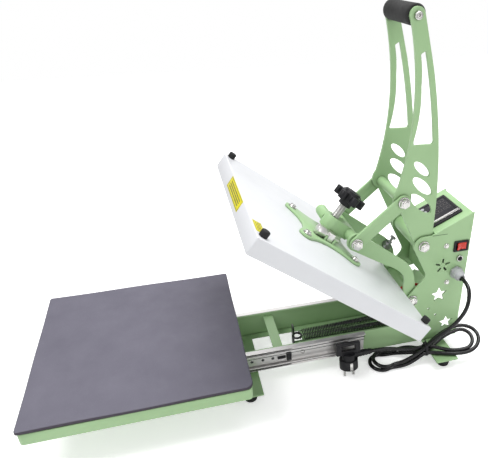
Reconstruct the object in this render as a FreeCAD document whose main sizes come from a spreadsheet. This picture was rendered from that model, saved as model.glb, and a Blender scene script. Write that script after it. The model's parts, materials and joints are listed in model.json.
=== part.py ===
"""Slide-out clamshell heat press, 380 x 380 mm platens, with a toggle handle.

Frame: X to the operator's right, Y to the rear, Z up, millimetres.  The origin is under the
middle of the machine's box, on the floor.  The press stands open, with its drawer pulled out.
"""

import FreeCAD, Part

import math
import os

import Sketcher

V = FreeCAD.Vector
DOC = FreeCAD.newDocument("heat_press")
SUBPARTS = []

# ---------------------------------------------------------------- driving dimensions

DIMS = {
    # sheet and plate thicknesses
    "sheet": 3.0,
    "thin_sheet": 2.0,
    "bar_plate": 5.0,
    # planes across the machine, each the inner face of a pair of plates
    "side_inner": 57.0,
    "arm_inner": 50.0,
    "link_inner": 56.5,
    # base
    "base_front": -100.0,
    "base_rear": 423.5,
    "base_bottom": 23.0,
    "rail_top": 75.5,
    "foot_height": 20.0,
    "foot_plate_half": 135.0,
    "foot_radius": 15.0,
    # housing
    "panel_front_y": 337.0,
    "panel_front_z": 280.0,
    "housing_top": 321.0,
    "box_floor_z": 162.0,
    "box_front_y": 351.5,
    # pivots, as height and depth
    "arm_pivot_y": 308.5,
    "arm_pivot_z": 135.0,
    "handle_pivot_y": 321.5,
    "handle_pivot_z": 260.0,
    "upper_link_y": 270.5,
    "upper_link_z": 360.0,
    "lower_link_y": 182.5,
    "lower_link_z": 286.0,
    "grip_y": 269.5,
    "grip_z": 675.0,
    "axle_radius": 7.0,
    "running_gap": 0.05,
    "link_bolt_radius": 6.0,
    "tube_radius": 15.0,
    "tube_bore": 11.0,
    "grip_radius": 17.0,
    # drawer
    "pad_side": 380.0,
    "pad_thick": 8.0,
    "pad_top": 110.0,
    "pad_corner": 9.0,
    "pad_centre_y": -233.5,
    "tray_side": 376.0,
    "tray_height": 23.0,
    "tray_top_thick": 4.0,
    "slide_length": 305.0,
    "slide_front": -98.5,
    "slide_middle_z": 54.0,
    "drawer_travel": 312.0,
    # upper platen, in its own tilted frame
    "platen_angle": 37.4,
    "platen_front_y": -41.1,
    "platen_front_z": 373.0,
    "cover_side": 384.0,
    "cover_height": 32.5,
    "cover_wall": 1.5,
    "heat_plate_thick": 12.0,
    "spider_thick": 5.0,
    "spider_pitch": 58.0,
    "guide_half": 30.0,
    "guide_height": 47.2,
    "guide_radius": 7.0,
    "screw_radius": 8.0,
    "boss_radius": 19.0,
    "boss_bottom": 52.0,
    "boss_top": 78.0,
    # mains lead
    "cord_diameter": 8.0,
    "gland_y": 401.0,
    "gland_z": 188.0,
    "gland_end": 86.0,
}


def make_sheet():
    """The spreadsheet that holds every driving dimension under its own alias."""
    sheet = DOC.addObject("Spreadsheet::Sheet", "dims")
    for row, (alias, value) in enumerate(DIMS.items(), start=1):
        sheet.set("A%d" % row, alias)
        sheet.set("B%d" % row, "%g" % value)
        sheet.setAlias("B%d" % row, alias)
    DOC.recompute()
    return sheet


SHEET = make_sheet()


def dim(alias):
    return float(getattr(SHEET, alias))


# ---------------------------------------------------------------- helpers


def subpart(obj, label):
    """Name an object as a piece of the machine that is written out."""
    obj.Label = label
    SUBPARTS.append(obj)
    return obj


def bind(obj, **expressions):
    """Tie properties to expressions; a double underscore stands for a dot."""
    for prop, expression in expressions.items():
        obj.setExpression(prop.replace("__", "."), expression)


def new_body(label):
    body = DOC.addObject("PartDesign::Body", label)
    return subpart(body, label)


def new_sketch(body, role, offset=None, tilt=None):
    """A sketch on one of the body's own origin planes, moved along its normal."""
    sketch = body.newObject("Sketcher::SketchObject", body.Label + "_sketch")
    plane = next(f for f in body.Origin.OriginFeatures if f.Role == role)
    sketch.AttachmentSupport = [(plane, "")]
    sketch.MapMode = "FlatFace"
    if tilt is not None:
        sketch.AttachmentOffset = tilt
    if offset is not None:
        sketch.setExpression("AttachmentOffset.Base.z", offset)
    return sketch


def closed_path(sketch, start, steps):
    """Draw a closed outline.  A step is a point, or a pair (middle, end) for an arc."""
    here = V(start[0], start[1], 0)
    for step in steps:
        if isinstance(step[0], tuple):
            middle = V(step[0][0], step[0][1], 0)
            there = V(step[1][0], step[1][1], 0)
            edge = Part.Arc(here, middle, there)
        else:
            there = V(step[0], step[1], 0)
            edge = Part.LineSegment(here, there)
        index = sketch.addGeometry(edge, False)
        sketch.addConstraint(Sketcher.Constraint("Block", index))
        here = there


def rounded(corners):
    """Start point and steps of a polygon whose corners (x, y, radius) are rounded."""
    count = len(corners)
    ends = []
    for index in range(count):
        before = V(*corners[index - 1][:2], 0)
        corner = V(*corners[index][:2], 0)
        after = V(*corners[(index + 1) % count][:2], 0)
        radius = corners[index][2]
        back = (before - corner).normalize()
        ahead = (after - corner).normalize()
        half = back.getAngle(ahead) / 2
        reach = radius / math.tan(half)
        inward = (back + ahead).normalize()
        middle = corner + inward * (radius / math.sin(half) - radius)
        ends.append((corner + back * reach, middle, corner + ahead * reach, radius))
    start = (ends[0][2].x, ends[0][2].y)
    steps = []
    for arrive, middle, leave, radius in ends[1:] + ends[:1]:
        steps.append((arrive.x, arrive.y))
        if radius > 0:
            steps.append(((middle.x, middle.y), (leave.x, leave.y)))
    return start, steps


def draw_rounded(sketch, corners):
    start, steps = rounded(corners)
    closed_path(sketch, start, steps)


def draw_box(sketch, x0, y0, x1, y1, radius=0.0):
    draw_rounded(sketch, [(x0, y0, radius), (x1, y0, radius), (x1, y1, radius), (x0, y1, radius)])


def ribbon(points, width):
    """The outline of a flat strip of one width along a path of square turns."""
    normals = []
    for (x0, y0), (x1, y1) in zip(points, points[1:]):
        length = math.hypot(x1 - x0, y1 - y0)
        normals.append(((y0 - y1) / length, (x1 - x0) / length))
    left, right = [], []
    for index, (x, y) in enumerate(points):
        before = normals[index - 1] if index > 0 else (0, 0)
        after = normals[index] if index < len(normals) else (0, 0)
        across = ((before[0] + after[0]) * width / 2, (before[1] + after[1]) * width / 2)
        left.append((x + across[0], y + across[1]))
        right.append((x - across[0], y - across[1]))
    return left + right[::-1]


def draw_circle(sketch, x, y, radius):
    """A circle; a radius given as text is bound to the sheet."""
    bound = isinstance(radius, str)
    size = 5.0 if bound else radius
    index = sketch.addGeometry(Part.Circle(V(x, y, 0), V(0, 0, 1), size), False)
    if not bound:
        sketch.addConstraint(Sketcher.Constraint("Block", index))
    if bound:
        sketch.addConstraint(Sketcher.Constraint("DistanceX", -1, 1, index, 3, x))
        sketch.addConstraint(Sketcher.Constraint("DistanceY", -1, 1, index, 3, y))
        name = "radius_%d" % index
        sketch.addConstraint(Sketcher.Constraint("Radius", index, size))
        sketch.renameConstraint(sketch.ConstraintCount - 1, name)
        sketch.setExpression("Constraints." + name, radius)
    return index


def pad(body, sketch, length, reverse=False):
    feature = body.newObject("PartDesign::Pad", body.Label + "_pad")
    feature.Profile = sketch
    feature.Reversed = reverse
    feature.setExpression("Length", length)
    sketch.Visibility = False
    return feature


def pocket(body, sketch, length, reverse=False):
    """Cut a sketch away, and make sure that it took something."""
    DOC.recompute()
    before = body.Shape.Volume
    feature = body.newObject("PartDesign::Pocket", body.Label + "_pocket")
    feature.Profile = sketch
    feature.Reversed = reverse
    feature.setExpression("Length", length)
    DOC.recompute()
    if body.Shape.Volume > before - 0.1:
        raise RuntimeError("the pocket in %s cuts nothing" % body.Label)
    return feature


def box(name, x, y, z):
    """A Part::Box between bounds given as pairs of expressions or numbers."""
    obj = DOC.addObject("Part::Box", name)
    for axis, size, (low, high) in (("x", "Length", x), ("y", "Width", y), ("z", "Height", z)):
        obj.setExpression("Placement.Base." + axis, str(low))
        obj.setExpression(size, "(%s) - (%s)" % (high, low))
    return obj


def cylinder(name, base, axis, radius, height, placement=None):
    """A Part::Cylinder from its base centre along an axis; radius and height may be bound."""
    obj = DOC.addObject("Part::Cylinder", name)
    obj.setExpression("Radius", str(radius))
    obj.setExpression("Height", str(height))
    local = FreeCAD.Placement(V(*base), FreeCAD.Rotation(V(0, 0, 1), V(*axis)))
    obj.Placement = placement.multiply(local) if placement else local
    return obj


def hexagon(name, base, axis, across, height, placement=None):
    """A hexagonal prism, its size across flats."""
    obj = DOC.addObject("Part::Prism", name)
    obj.Polygon = 6
    obj.Circumradius = across / math.sqrt(3)
    obj.Height = height
    local = FreeCAD.Placement(V(*base), FreeCAD.Rotation(V(0, 0, 1), V(*axis)))
    obj.Placement = placement.multiply(local) if placement else local
    return obj


def fuse(name, *shapes):
    obj = DOC.addObject("Part::MultiFuse", name)
    obj.Shapes = list(shapes)
    return obj


def cut(name, base, tool):
    obj = DOC.addObject("Part::Cut", name)
    obj.Base = base
    obj.Tool = tool
    return obj


def group(label, *shapes):
    """Separate solids of one kind that share a node."""
    obj = DOC.addObject("Part::Compound", label)
    obj.Links = list(shapes)
    return subpart(obj, label)


def tube_x(name, y, z, radius, bore, half):
    """A tube across the machine, from -half to +half."""
    outer = cylinder(name + "_outer", (-half, y, z), (1, 0, 0), radius, 2 * half)
    inner = cylinder(name + "_bore", (-half - 1, y, z), (1, 0, 0), bore, 2 * half + 2)
    return cut(name, outer, inner)


def tilt_placement():
    """The upper platen's frame: X across, Y down its slope to the rear, Z off its face."""
    origin = V(0, dim("platen_front_y"), dim("platen_front_z"))
    return FreeCAD.Placement(origin, FreeCAD.Rotation(V(1, 0, 0), -dim("platen_angle")))


TILT = tilt_placement()


def tilt_body(label):
    body = new_body(label)
    body.Placement = TILT
    bind(body, Placement__Base__y="dims.platen_front_y", Placement__Base__z="dims.platen_front_z")
    return body


def on_circle(centre, radius, degrees):
    angle = math.radians(degrees)
    return (centre[0] + radius * math.cos(angle), centre[1] + radius * math.sin(angle))


ARM_PIVOT = (dim("arm_pivot_y"), dim("arm_pivot_z"))
HANDLE_PIVOT = (dim("handle_pivot_y"), dim("handle_pivot_z"))
UPPER_LINK = (dim("upper_link_y"), dim("upper_link_z"))
LOWER_LINK = (dim("lower_link_y"), dim("lower_link_z"))
GRIP = (dim("grip_y"), dim("grip_z"))
FLOAT_GAP = 0.4


def head_and_washer(name, x, y, z, side, washer_radius=11.0):
    """A washer with a hexagon head on it, standing outward from the plane x."""
    washer_thick = 2.0
    head_height = 6.0
    across = 17.0
    axis = (side, 0, 0)
    washer = cylinder(name + "_washer", (x, y, z), axis, washer_radius, washer_thick)
    head = hexagon(name + "_hex", (x + side * washer_thick, y, z), axis, across, head_height)
    dome = cylinder(name + "_end", (x + side * (washer_thick + head_height), y, z), axis, 6, 1.5)
    return [washer, head, dome]


# ---------------------------------------------------------------- base and housing

SPRING_Z = 46.0
TAB_Y = 68.0
TAB_THICK = 2.5
SWITCH = (404.0, 249.0)
BREAKER = (404.5, 220.5)
BREAKER_HOLE = 5.2


def side_outline(sketch):
    """Low rail in front, housing behind, with the lip and the notch at the arm."""
    front, rear = dim("base_front"), dim("base_rear")
    bottom, rail = dim("base_bottom"), dim("rail_top")
    lobe = 20.0
    tangent = on_circle(HANDLE_PIVOT, lobe, 196)
    over = on_circle(HANDLE_PIVOT, lobe, 143)
    top = on_circle(HANDLE_PIVOT, lobe, 90)
    closed_path(sketch, (front, bottom), [
        (front, rail - 6),
        ((front + 1.8, rail - 1.8), (front + 6, rail)),
        (272.0, rail),
        ((276.6, rail + 1.9), (278.5, rail + 6.5)),
        (278.5, 118.0),
        ((279.1, 120.8), (280.7, 123.2)),
        (329.5, 181.0),
        ((332.6, 188.4), (331.5, 196.5)),
        tangent,
        (over, top),
        (dim("panel_front_y"), dim("panel_front_z")),
        (rear, dim("housing_top")),
        (rear, bottom),
        (front, bottom),
    ])


def star_outline(sketch, centre, tip_radius):
    """A plain five-pointed ventilation cut-out."""
    points = []
    for step in range(10):
        radius = tip_radius if step % 2 == 0 else tip_radius * 0.45
        points.append(on_circle(centre, radius, 94 + 36 * step))
    closed_path(sketch, points[0], points[1:] + points[:1])


def vent_slots(sketch, centre):
    """Five short slots set round a centre."""
    for step in range(5):
        angle = 18 + 72 * step
        along = V(math.cos(math.radians(angle)), math.sin(math.radians(angle)), 0)
        across = V(-along.y, along.x, 0) * 1.9
        near = V(centre[0], centre[1], 0) + along * 6
        far = near + along * 10
        corners = [near - across, far - across, far + across, near + across]
        path = [(c.x, c.y) for c in corners]
        closed_path(sketch, path[0], path[1:] + path[:1])


def side_plate(label, side):
    """One side of the frame; the right one carries the switch, the fuse and the lead."""
    body = new_body(label)
    offset = "dims.side_inner" if side > 0 else "-dims.side_inner"
    sketch = new_sketch(body, "YZ_Plane", offset)
    side_outline(sketch)
    pad(body, sketch, "dims.sheet", reverse=side < 0)
    holes = new_sketch(body, "YZ_Plane", offset)
    draw_circle(holes, *ARM_PIVOT, "dims.axle_radius")
    draw_circle(holes, *HANDLE_PIVOT, "dims.axle_radius")
    star_outline(holes, (369.5, 137.0), 19.0)
    star_outline(holes, (394.5, 61.0), 17.0)
    vent_slots(holes, (369.0, 208.0))
    for spare_hole in ((349.5, 105.0), (367.5, 86.0)):
        draw_circle(holes, *spare_hole, 2.5)
    if side > 0:
        y, z = SWITCH
        draw_box(holes, y - 13, z - 9.5, y + 13, z + 9.5)
        draw_circle(holes, *BREAKER, BREAKER_HOLE)
        draw_circle(holes, dim("gland_y"), dim("gland_z"), 8.0)
    pocket(body, holes, "dims.sheet", reverse=side > 0)


def base_bottom_plate():
    """Folded bottom sheet with a front flange and a spring opening, and open at the rear."""
    body = new_body("base_bottom_plate")
    half = dim("side_inner")
    front, rear = dim("base_front"), dim("base_rear")
    sketch = new_sketch(body, "XY_Plane", "dims.base_bottom")
    draw_box(sketch, -half, front, half, rear - dim("thin_sheet"))
    pad(body, sketch, "dims.thin_sheet")
    flange = new_sketch(body, "XY_Plane", "dims.base_bottom + dims.thin_sheet")
    draw_box(flange, -half, front, half, front + dim("thin_sheet"))
    pad(body, flange, "34")
    holes = new_sketch(body, "XY_Plane", "dims.base_bottom")
    wide, tongue = 42.0, 9.0
    near, far = -13.5, TAB_Y + 24
    tip = TAB_Y + TAB_THICK
    closed_path(holes, (-wide, near), [
        (wide, near),
        (wide, far),
        (tongue, far),
        (tongue, tip),
        (-tongue, tip),
        (-tongue, far),
        (-wide, far),
        (-wide, near),
    ])
    draw_box(holes, -wide, 366, wide, dim("base_rear"))
    pocket(body, holes, "dims.thin_sheet", reverse=True)


def base_cross_strip():
    obj = box("base_cross_strip", ("-dims.side_inner", "dims.side_inner"), (16.5, 36.5), (66, 68))
    subpart(obj, "base_cross_strip")


def rear_cover():
    """Back wall of the electronics box with rows of cooling slots; the base below is open."""
    body = new_body("rear_cover")
    half = dim("side_inner")
    sketch = new_sketch(body, "XZ_Plane", "-dims.base_rear")
    draw_box(sketch, -half, dim("box_floor_z") - 2, half, dim("housing_top") - 3)
    pad(body, sketch, "dims.thin_sheet")
    slots = new_sketch(body, "XZ_Plane", "-dims.base_rear")
    for column in (-1, 1):
        for row in range(6):
            middle = column * 24
            z = 196 + row * 14
            draw_box(slots, middle - 17, z, middle + 17, z + 4, 1.9)
    pocket(body, slots, "dims.thin_sheet", reverse=True)


def front_cover():
    """Folded sheet that closes the electronics box in front and below."""
    half = "dims.side_inner"
    wall = box("front_cover_wall", ("-" + half, half),
               ("dims.box_front_y", "dims.box_front_y + dims.thin_sheet"), ("dims.box_floor_z", 284))
    floor = box("front_cover_floor", ("-" + half, half),
                ("dims.box_front_y", "dims.base_rear - dims.thin_sheet"),
                ("dims.box_floor_z", "dims.box_floor_z + dims.thin_sheet"))
    both = fuse("front_cover_sheet", wall, floor)
    hole = cylinder("front_cover_hole", (38, 360, 150), (0, 0, 1), 3.2, 30)
    subpart(cut("front_cover", both, hole), "front_cover")


def panel_placement():
    """The sloped panel's frame: X across, Y up the slope, Z out of the panel."""
    rise = dim("housing_top") - dim("panel_front_z")
    run = dim("base_rear") - dim("panel_front_y")
    slope = math.degrees(math.atan2(rise, run))
    origin = V(0, dim("panel_front_y"), dim("panel_front_z"))
    return FreeCAD.Placement(origin, FreeCAD.Rotation(V(1, 0, 0), slope))


PANEL = panel_placement()
DISPLAY = (-40.0, 13.0, 40.0, 81.0)
SCREEN = (-34.0, 18.0, 33.0, 76.0)


def panel_body(label):
    body = new_body(label)
    body.Placement = PANEL
    return body


def control_panel():
    body = panel_body("control_panel")
    half = dim("side_inner")
    sketch = new_sketch(body, "XY_Plane", "-dims.thin_sheet")
    draw_box(sketch, -half, 8, half, 92)
    pad(body, sketch, "dims.thin_sheet")
    opening = new_sketch(body, "XY_Plane", "-dims.thin_sheet")
    draw_box(opening, *SCREEN)
    pocket(body, opening, "dims.thin_sheet", reverse=True)


def display():
    """Black frame on the panel and the dark glass in it."""
    body = panel_body("display_bezel")
    sketch = new_sketch(body, "XY_Plane", "0")
    draw_box(sketch, *DISPLAY, 3)
    draw_box(sketch, *SCREEN)
    pad(body, sketch, "3")
    glass = panel_body("display_glass")
    pane = new_sketch(glass, "XY_Plane", "-1")
    draw_box(pane, SCREEN[0] + 0.1, SCREEN[1] + 0.1, SCREEN[2] - 0.1, SCREEN[3] - 0.1)
    pad(glass, pane, "3")


def controller_board():
    """Circuit board behind the display, with its relay and two capacitors."""
    body = panel_body("controller_board")
    sketch = new_sketch(body, "XY_Plane", "-14")
    draw_box(sketch, -42, 18, 42, 78)
    pad(body, sketch, "1.6")
    parts = new_sketch(body, "XY_Plane", "-14")
    draw_box(parts, -34, 26, -14, 46)
    draw_circle(parts, 4, 34, 5)
    draw_circle(parts, 20, 34, 5)
    pad(body, parts, "12", reverse=True)


def relay_block():
    """Solid-state relay on the floor of the electronics box, with four screw terminals."""
    floor = dim("box_floor_z") + dim("thin_sheet")
    block = box("relay_case", (-46, 12), (366, 410), (floor, floor + 24))
    posts = []
    for x in (-38, 4):
        for y in (373, 403):
            posts.append(cylinder("relay_post", (x, y, floor + 23), (0, 0, 1), 4, 4))
    subpart(fuse("relay_block", block, *posts), "relay_block")


ROCKER_TILT = 8.0


def power_switch():
    """Black frame and body, and the rocker that turns in it about an upright axis."""
    body = new_body("switch_frame")
    y, z = SWITCH
    rim = new_sketch(body, "YZ_Plane", "dims.side_inner + dims.sheet")
    draw_box(rim, y - 16, z - 12, y + 16, z + 12, 1.5)
    pad(body, rim, "2.5")
    case = new_sketch(body, "YZ_Plane", "dims.side_inner + dims.sheet")
    draw_box(case, y - 13, z - 9.5, y + 13, z + 9.5)
    pad(body, case, "20", reverse=True)
    well = new_sketch(body, "YZ_Plane", "dims.side_inner + dims.sheet + 2.5")
    draw_box(well, y - 11.5, z - 8, y + 11.5, z + 8)
    pocket(body, well, "14")
    rocker = new_body("switch_rocker")
    profile = new_sketch(rocker, "XY_Plane", "%g" % (z - 7.4))
    angle = math.radians(ROCKER_TILT)

    def turned(along, across):
        x = dim("side_inner") + along * math.cos(angle) - across * math.sin(angle)
        return (x, y + along * math.sin(angle) + across * math.cos(angle))

    barrel = 4.2
    low, high = on_circle((0, 0), barrel, -60), on_circle((0, 0), barrel, 60)
    closed_path(profile, turned(*low), [
        turned(5.2, -10.2),
        turned(7.2, -9.6),
        turned(4.2, 0),
        turned(7.2, 9.6),
        turned(5.2, 10.2),
        turned(*high),
        (turned(-barrel, 0), turned(*low)),
    ])
    pad(rocker, profile, "14.8")


def breaker():
    """Push-to-reset circuit breaker: its case and collar, plated ring nut and button."""
    y, z = BREAKER
    outer = dim("side_inner") + dim("sheet")
    across = (1, 0, 0)
    collar_radius = 4.4
    collar = cylinder("breaker_collar", (outer, y, z), across, collar_radius, 5.0)
    case = cylinder("breaker_case", (outer - 24, y, z), across, BREAKER_HOLE - 0.1, 24)
    bore = cylinder("breaker_bore", (outer - 6, y, z), across, 3.0, 20)
    subpart(cut("breaker_body", fuse("breaker_solid", case, collar), bore), "breaker_body")
    ring = cylinder("breaker_ring", (outer, y, z), across, 6.6, 3.5)
    hole = cylinder("breaker_ring_hole", (outer - 1, y, z), across, collar_radius, 6)
    subpart(cut("breaker_nut", ring, hole), "breaker_nut")
    subpart(cylinder("breaker_button", (outer - 3, y, z), across, 2.6, 10), "breaker_button")


def cable_gland():
    """Grey nylon gland: hexagon, dome nut and a tapered mouth round the lead."""
    y, z = dim("gland_y"), dim("gland_z")
    outer = dim("side_inner") + dim("sheet")
    end = dim("gland_end")
    thread = cylinder("gland_thread", (outer - 9, y, z), (1, 0, 0), 7.9, 12)
    lock = hexagon("gland_lock", (outer - 8, y, z), (1, 0, 0), 22, 5)
    nut = hexagon("gland_hex", (outer, y, z), (1, 0, 0), 24, 7)
    neck = cylinder("gland_neck", (outer + 6, y, z), (1, 0, 0), 11, 11)
    mouth = DOC.addObject("Part::Cone", "gland_mouth")
    bind(mouth, Radius1="11", Radius2="6.5", Height="%g" % (end - outer - 16))
    mouth.Placement = FreeCAD.Placement(V(outer + 16, y, z), FreeCAD.Rotation(V(0, 0, 1), V(1, 0, 0)))
    subpart(fuse("cable_gland", thread, lock, nut, neck, mouth), "cable_gland")


def housing_screws():
    """Pan-head screws that hold the covers to the side plates."""
    screws = []
    outer = dim("side_inner") + dim("sheet")
    places = [(371.5, 253.0), (383.5, 166.0)]
    for side in (-1, 1):
        for y, z in places:
            disc = cylinder("screw_disc", (side * outer, y, z), (side, 0, 0), 5.5, 0.8)
            head = cylinder("screw_head", (side * (outer + 0.8), y, z), (side, 0, 0), 3.8, 2.6)
            screws.append(fuse("screw", disc, head))
    group("housing_screws", *screws)


def feet():
    """Two flat bars across the machine under the base, each on two rubber feet."""
    wide, narrow = "dims.foot_plate_half", "(dims.foot_plate_half - 9)"
    height = ("dims.foot_height", "dims.base_bottom")
    front = box("foot_plate_front", ("-" + narrow, narrow), (-65.0, -18.5), height)
    rear = box("foot_plate_rear", ("-" + wide, wide), (341.5, 389.5), height)
    group("foot_plates", front, rear)
    pads = []
    for x, y in ((-107, -42), (107, -42), (-116, 366), (116, 366)):
        foot = DOC.addObject("Part::Cone", "rubber_foot")
        bind(foot, Radius1="dims.foot_radius - 3", Radius2="dims.foot_radius", Height="dims.foot_height")
        foot.Placement = FreeCAD.Placement(V(x, y, 0), FreeCAD.Rotation())
        pads.append(foot)
    group("rubber_feet", *pads)


def pivot_axles():
    """The arm axle and the handle axle, with washers and hexagon heads at both ends."""
    outer = dim("side_inner") + dim("sheet")
    solids = []
    for name, (y, z) in (("arm_axle", ARM_PIVOT), ("handle_axle", HANDLE_PIVOT)):
        shaft = cylinder(name, (-outer, y, z), (1, 0, 0), "dims.axle_radius", 2 * outer)
        ends = []
        for side in (-1, 1):
            ends += head_and_washer(name, side * outer, y, z, side)
        solids.append(fuse(name + "_solid", shaft, *ends))
    group("pivot_axles", *solids)


def springs():
    """Bent tab with its ring in the base, and the two return springs as plain solids."""
    blank = box("spring_blank", (-8, 8), (TAB_Y, TAB_Y + TAB_THICK),
                ("dims.base_bottom + dims.thin_sheet", 73))
    rings = []
    for name, wire in (("spring_ring", 2.4), ("spring_ring_hole", 2.7)):
        ring = DOC.addObject("Part::Torus", name)
        bind(ring, Radius1="9", Radius2=str(wire))
        ring.Placement = FreeCAD.Placement(V(0, TAB_Y + 10, SPRING_Z), FreeCAD.Rotation())
        rings.append(ring)
    group("spring_anchor", cut("spring_tab", blank, rings[1]), rings[0])
    coils = []
    for side in (-1, 1):
        start = V(side * 8.3, TAB_Y + 22, SPRING_Z)
        end = V(side * 13.0, 288.0, SPRING_Z + 2)
        along = end - start
        coils.append(cylinder("spring", tuple(start), tuple(along), 7.0, along.Length))
    group("return_springs", *coils)


def heater_cable():
    """Heat-proof lead from the electronics box to the upper platen."""
    path = [(38, 360, 161.6), (38, 357, 152), (38, 342, 149), (38, 323, 158), (38, 304, 161),
            (38, 288.7, 148.5), (38, 277.6, 157.0)]
    tube_along("heater_cable", path, 3.0)


def tube_along(label, points, radius, arc_share=0.45):
    """A round tube along straight runs joined by tangent arcs; returns its centre length."""
    spots = [V(*p) for p in points]
    edges = []
    here = spots[0]
    radii = []
    for index in range(1, len(spots) - 1):
        corner = spots[index]
        back = spots[index - 1] - corner
        ahead = spots[index + 1] - corner
        reach = arc_share * min(back.Length, ahead.Length)
        turn = math.pi - back.getAngle(ahead)
        bend = reach / math.tan(turn / 2)
        radii.append(round(bend, 1))
        back.normalize()
        ahead.normalize()
        begin = corner + back * reach
        finish = corner + ahead * reach
        inward = (back + ahead).normalize()
        middle = corner + inward * (bend / math.cos(turn / 2) - bend)
        edges.append(Part.LineSegment(here, begin).toShape())
        edges.append(Part.Arc(begin, middle, finish).toShape())
        here = finish
    edges.append(Part.LineSegment(here, spots[-1]).toShape())
    wire = Part.Wire(edges)
    direction = spots[1] - spots[0]
    profile = Part.Wire([Part.Circle(spots[0], direction, radius).toShape()])
    solid = wire.makePipeShell([profile], True, True)
    expected = math.pi * radius ** 2 * wire.Length
    if abs(solid.Volume / expected - 1) > 0.01:
        raise RuntimeError("the tube %s has the wrong volume" % label)
    feature = DOC.addObject("Part::Feature", label)
    feature.Shape = solid
    subpart(feature, label)
    print(label, "length", round(wire.Length, 1), "radii", radii)


# ---------------------------------------------------------------- drawer


def channel_section(sketch, web, lip, half, thick):
    """A C of sheet: its web between x = web and the side away from lip, its flanges to lip."""
    inward = thick if lip > web else -thick
    z = dim("slide_middle_z")
    closed_path(sketch, (web, z - half), [
        (lip, z - half),
        (lip, z - half + thick),
        (web + inward, z - half + thick),
        (web + inward, z + half - thick),
        (lip, z + half - thick),
        (lip, z + half),
        (web, z + half),
        (web, z - half),
    ])


def slide_pair(label, web, lip, half, front):
    """The same member of the right and the left telescopic slide."""
    solids = []
    for side in (1, -1):
        sketch = DOC.addObject("Sketcher::SketchObject", label + "_section")
        sketch.Placement = FreeCAD.Placement(V(0, front, 0), FreeCAD.Rotation(V(1, 0, 0), 90))
        channel_section(sketch, side * web, side * lip, half, 1.2)
        member = DOC.addObject("Part::Extrusion", label + "_member")
        member.Base = sketch
        member.DirMode = "Custom"
        member.Dir = V(0, 1, 0)
        member.Solid = True
        bind(member, LengthFwd="dims.slide_length")
        solids.append(member)
    group(label, *solids)


def slides():
    outer = dim("side_inner") + dim("sheet")
    front, travel = dim("slide_front"), dim("drawer_travel")
    slide_pair("slide_outer", outer, outer + 10.5, 22.0, front)
    slide_pair("slide_middle", outer + 4.8, outer + 10.5, 18.0, front - travel / 2)
    slide_pair("slide_inner", outer + 12.5, outer + 7.0, 13.5, front - travel)


def lower_tray():
    """Inverted pan: a flat top with a skirt turned down all round."""
    body = new_body("lower_tray")
    half = dim("tray_side") / 2
    middle = dim("pad_centre_y")
    corner = dim("pad_corner") - 1
    top = "dims.pad_top - dims.pad_thick"
    outer = new_sketch(body, "XY_Plane", top)
    draw_box(outer, -half, middle - half, half, middle + half, corner)
    pad(body, outer, "dims.tray_height", reverse=True)
    inner = new_sketch(body, "XY_Plane", top + " - dims.tray_height")
    wall = dim("sheet")
    draw_box(inner, -half + wall, middle - half + wall, half - wall, middle + half - wall, corner - wall)
    pocket(body, inner, "dims.tray_height - dims.tray_top_thick", reverse=True)


def silicone_pad():
    body = new_body("silicone_pad")
    half = dim("pad_side") / 2
    middle = dim("pad_centre_y")
    sketch = new_sketch(body, "XY_Plane", "dims.pad_top - dims.pad_thick")
    draw_box(sketch, -half, middle - half, half, middle + half, dim("pad_corner"))
    pad(body, sketch, "dims.pad_thick")


def drawer_brackets():
    """Angle plates that hang the tray on the inner slide members."""
    web = dim("side_inner") + dim("sheet") + 12.5
    top = dim("pad_top") - dim("pad_thick") - dim("tray_top_thick")
    front = dim("slide_front") - dim("drawer_travel")
    rear = front + dim("slide_length")
    plates = []
    for side in (1, -1):
        near, far = sorted((side * web, side * (web + 2.5)))
        low, high = sorted((side * web, side * (web + 26)))
        upright = box("bracket_web", (near, far), (front, rear), (40, top))
        flange = box("bracket_flange", (low, high), (front, rear), (top - 2.5, top))
        plates.append(fuse("bracket", upright, flange))
    group("drawer_brackets", *plates)


# ---------------------------------------------------------------- handle and links


def handle_outline(sketch):
    """From the pivot lobe up the rear edge, over the grip and down the front edge."""
    py, pz = HANDLE_PIVOT
    uy, uz = UPPER_LINK
    lobe = 19.0
    closed_path(sketch, (py + lobe, pz), [
        (py + lobe, pz + 60),
        ((331.6, 460.0), (306.5, 593.5)),
        (GRIP[0] + 12.6, GRIP[1] + 3.3),
        ((GRIP[0] - 3.4, GRIP[1] + 12.6), (GRIP[0] - 12.9, GRIP[1] - 1.6)),
        (262.6, 656.0),
        ((278.4, 522.0), (258.5, 382.0)),
        ((uy - 16.8, uz - 3.2), (uy - 4.0, uz - 16.6)),
        on_circle(HANDLE_PIVOT, lobe, 158),
        (on_circle(HANDLE_PIVOT, lobe, 264), (py + lobe, pz)),
    ])


def handle_cutouts(sketch):
    """One long tapering window and three slanted ovals below it."""
    closed_path(sketch, (281.0, 469.0), [
        ((287.8, 509.0), (286.9, 566.0)),
        ((285.1, 593.0), (281.1, 614.8)),
        ((281.3, 616.8), (282.6, 618.1)),
        (287.8, 620.9),
        ((289.4, 621.0), (290.2, 619.6)),
        ((306.0, 553.0), (319.9, 471.0)),
        ((318.8, 465.6), (313.5, 464.0)),
        (285.0, 465.0),
        ((282.0, 466.2), (281.0, 469.0)),
    ])
    slant = math.radians(-43)
    ovals = (((303.5, 419.0), 43, 15), ((308.0, 385.0), 54, 19), ((308.5, 350.0), 62, 21))
    for centre, length, width in ovals:
        major = V(math.cos(slant), math.sin(slant), 0) * (length / 2)
        minor = V(-math.sin(slant), math.cos(slant), 0) * (width / 2)
        middle = V(centre[0], centre[1], 0)
        oval = Part.Ellipse(middle + major, middle + minor, middle)
        index = sketch.addGeometry(oval, False)
        sketch.addConstraint(Sketcher.Constraint("Block", index))


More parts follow.
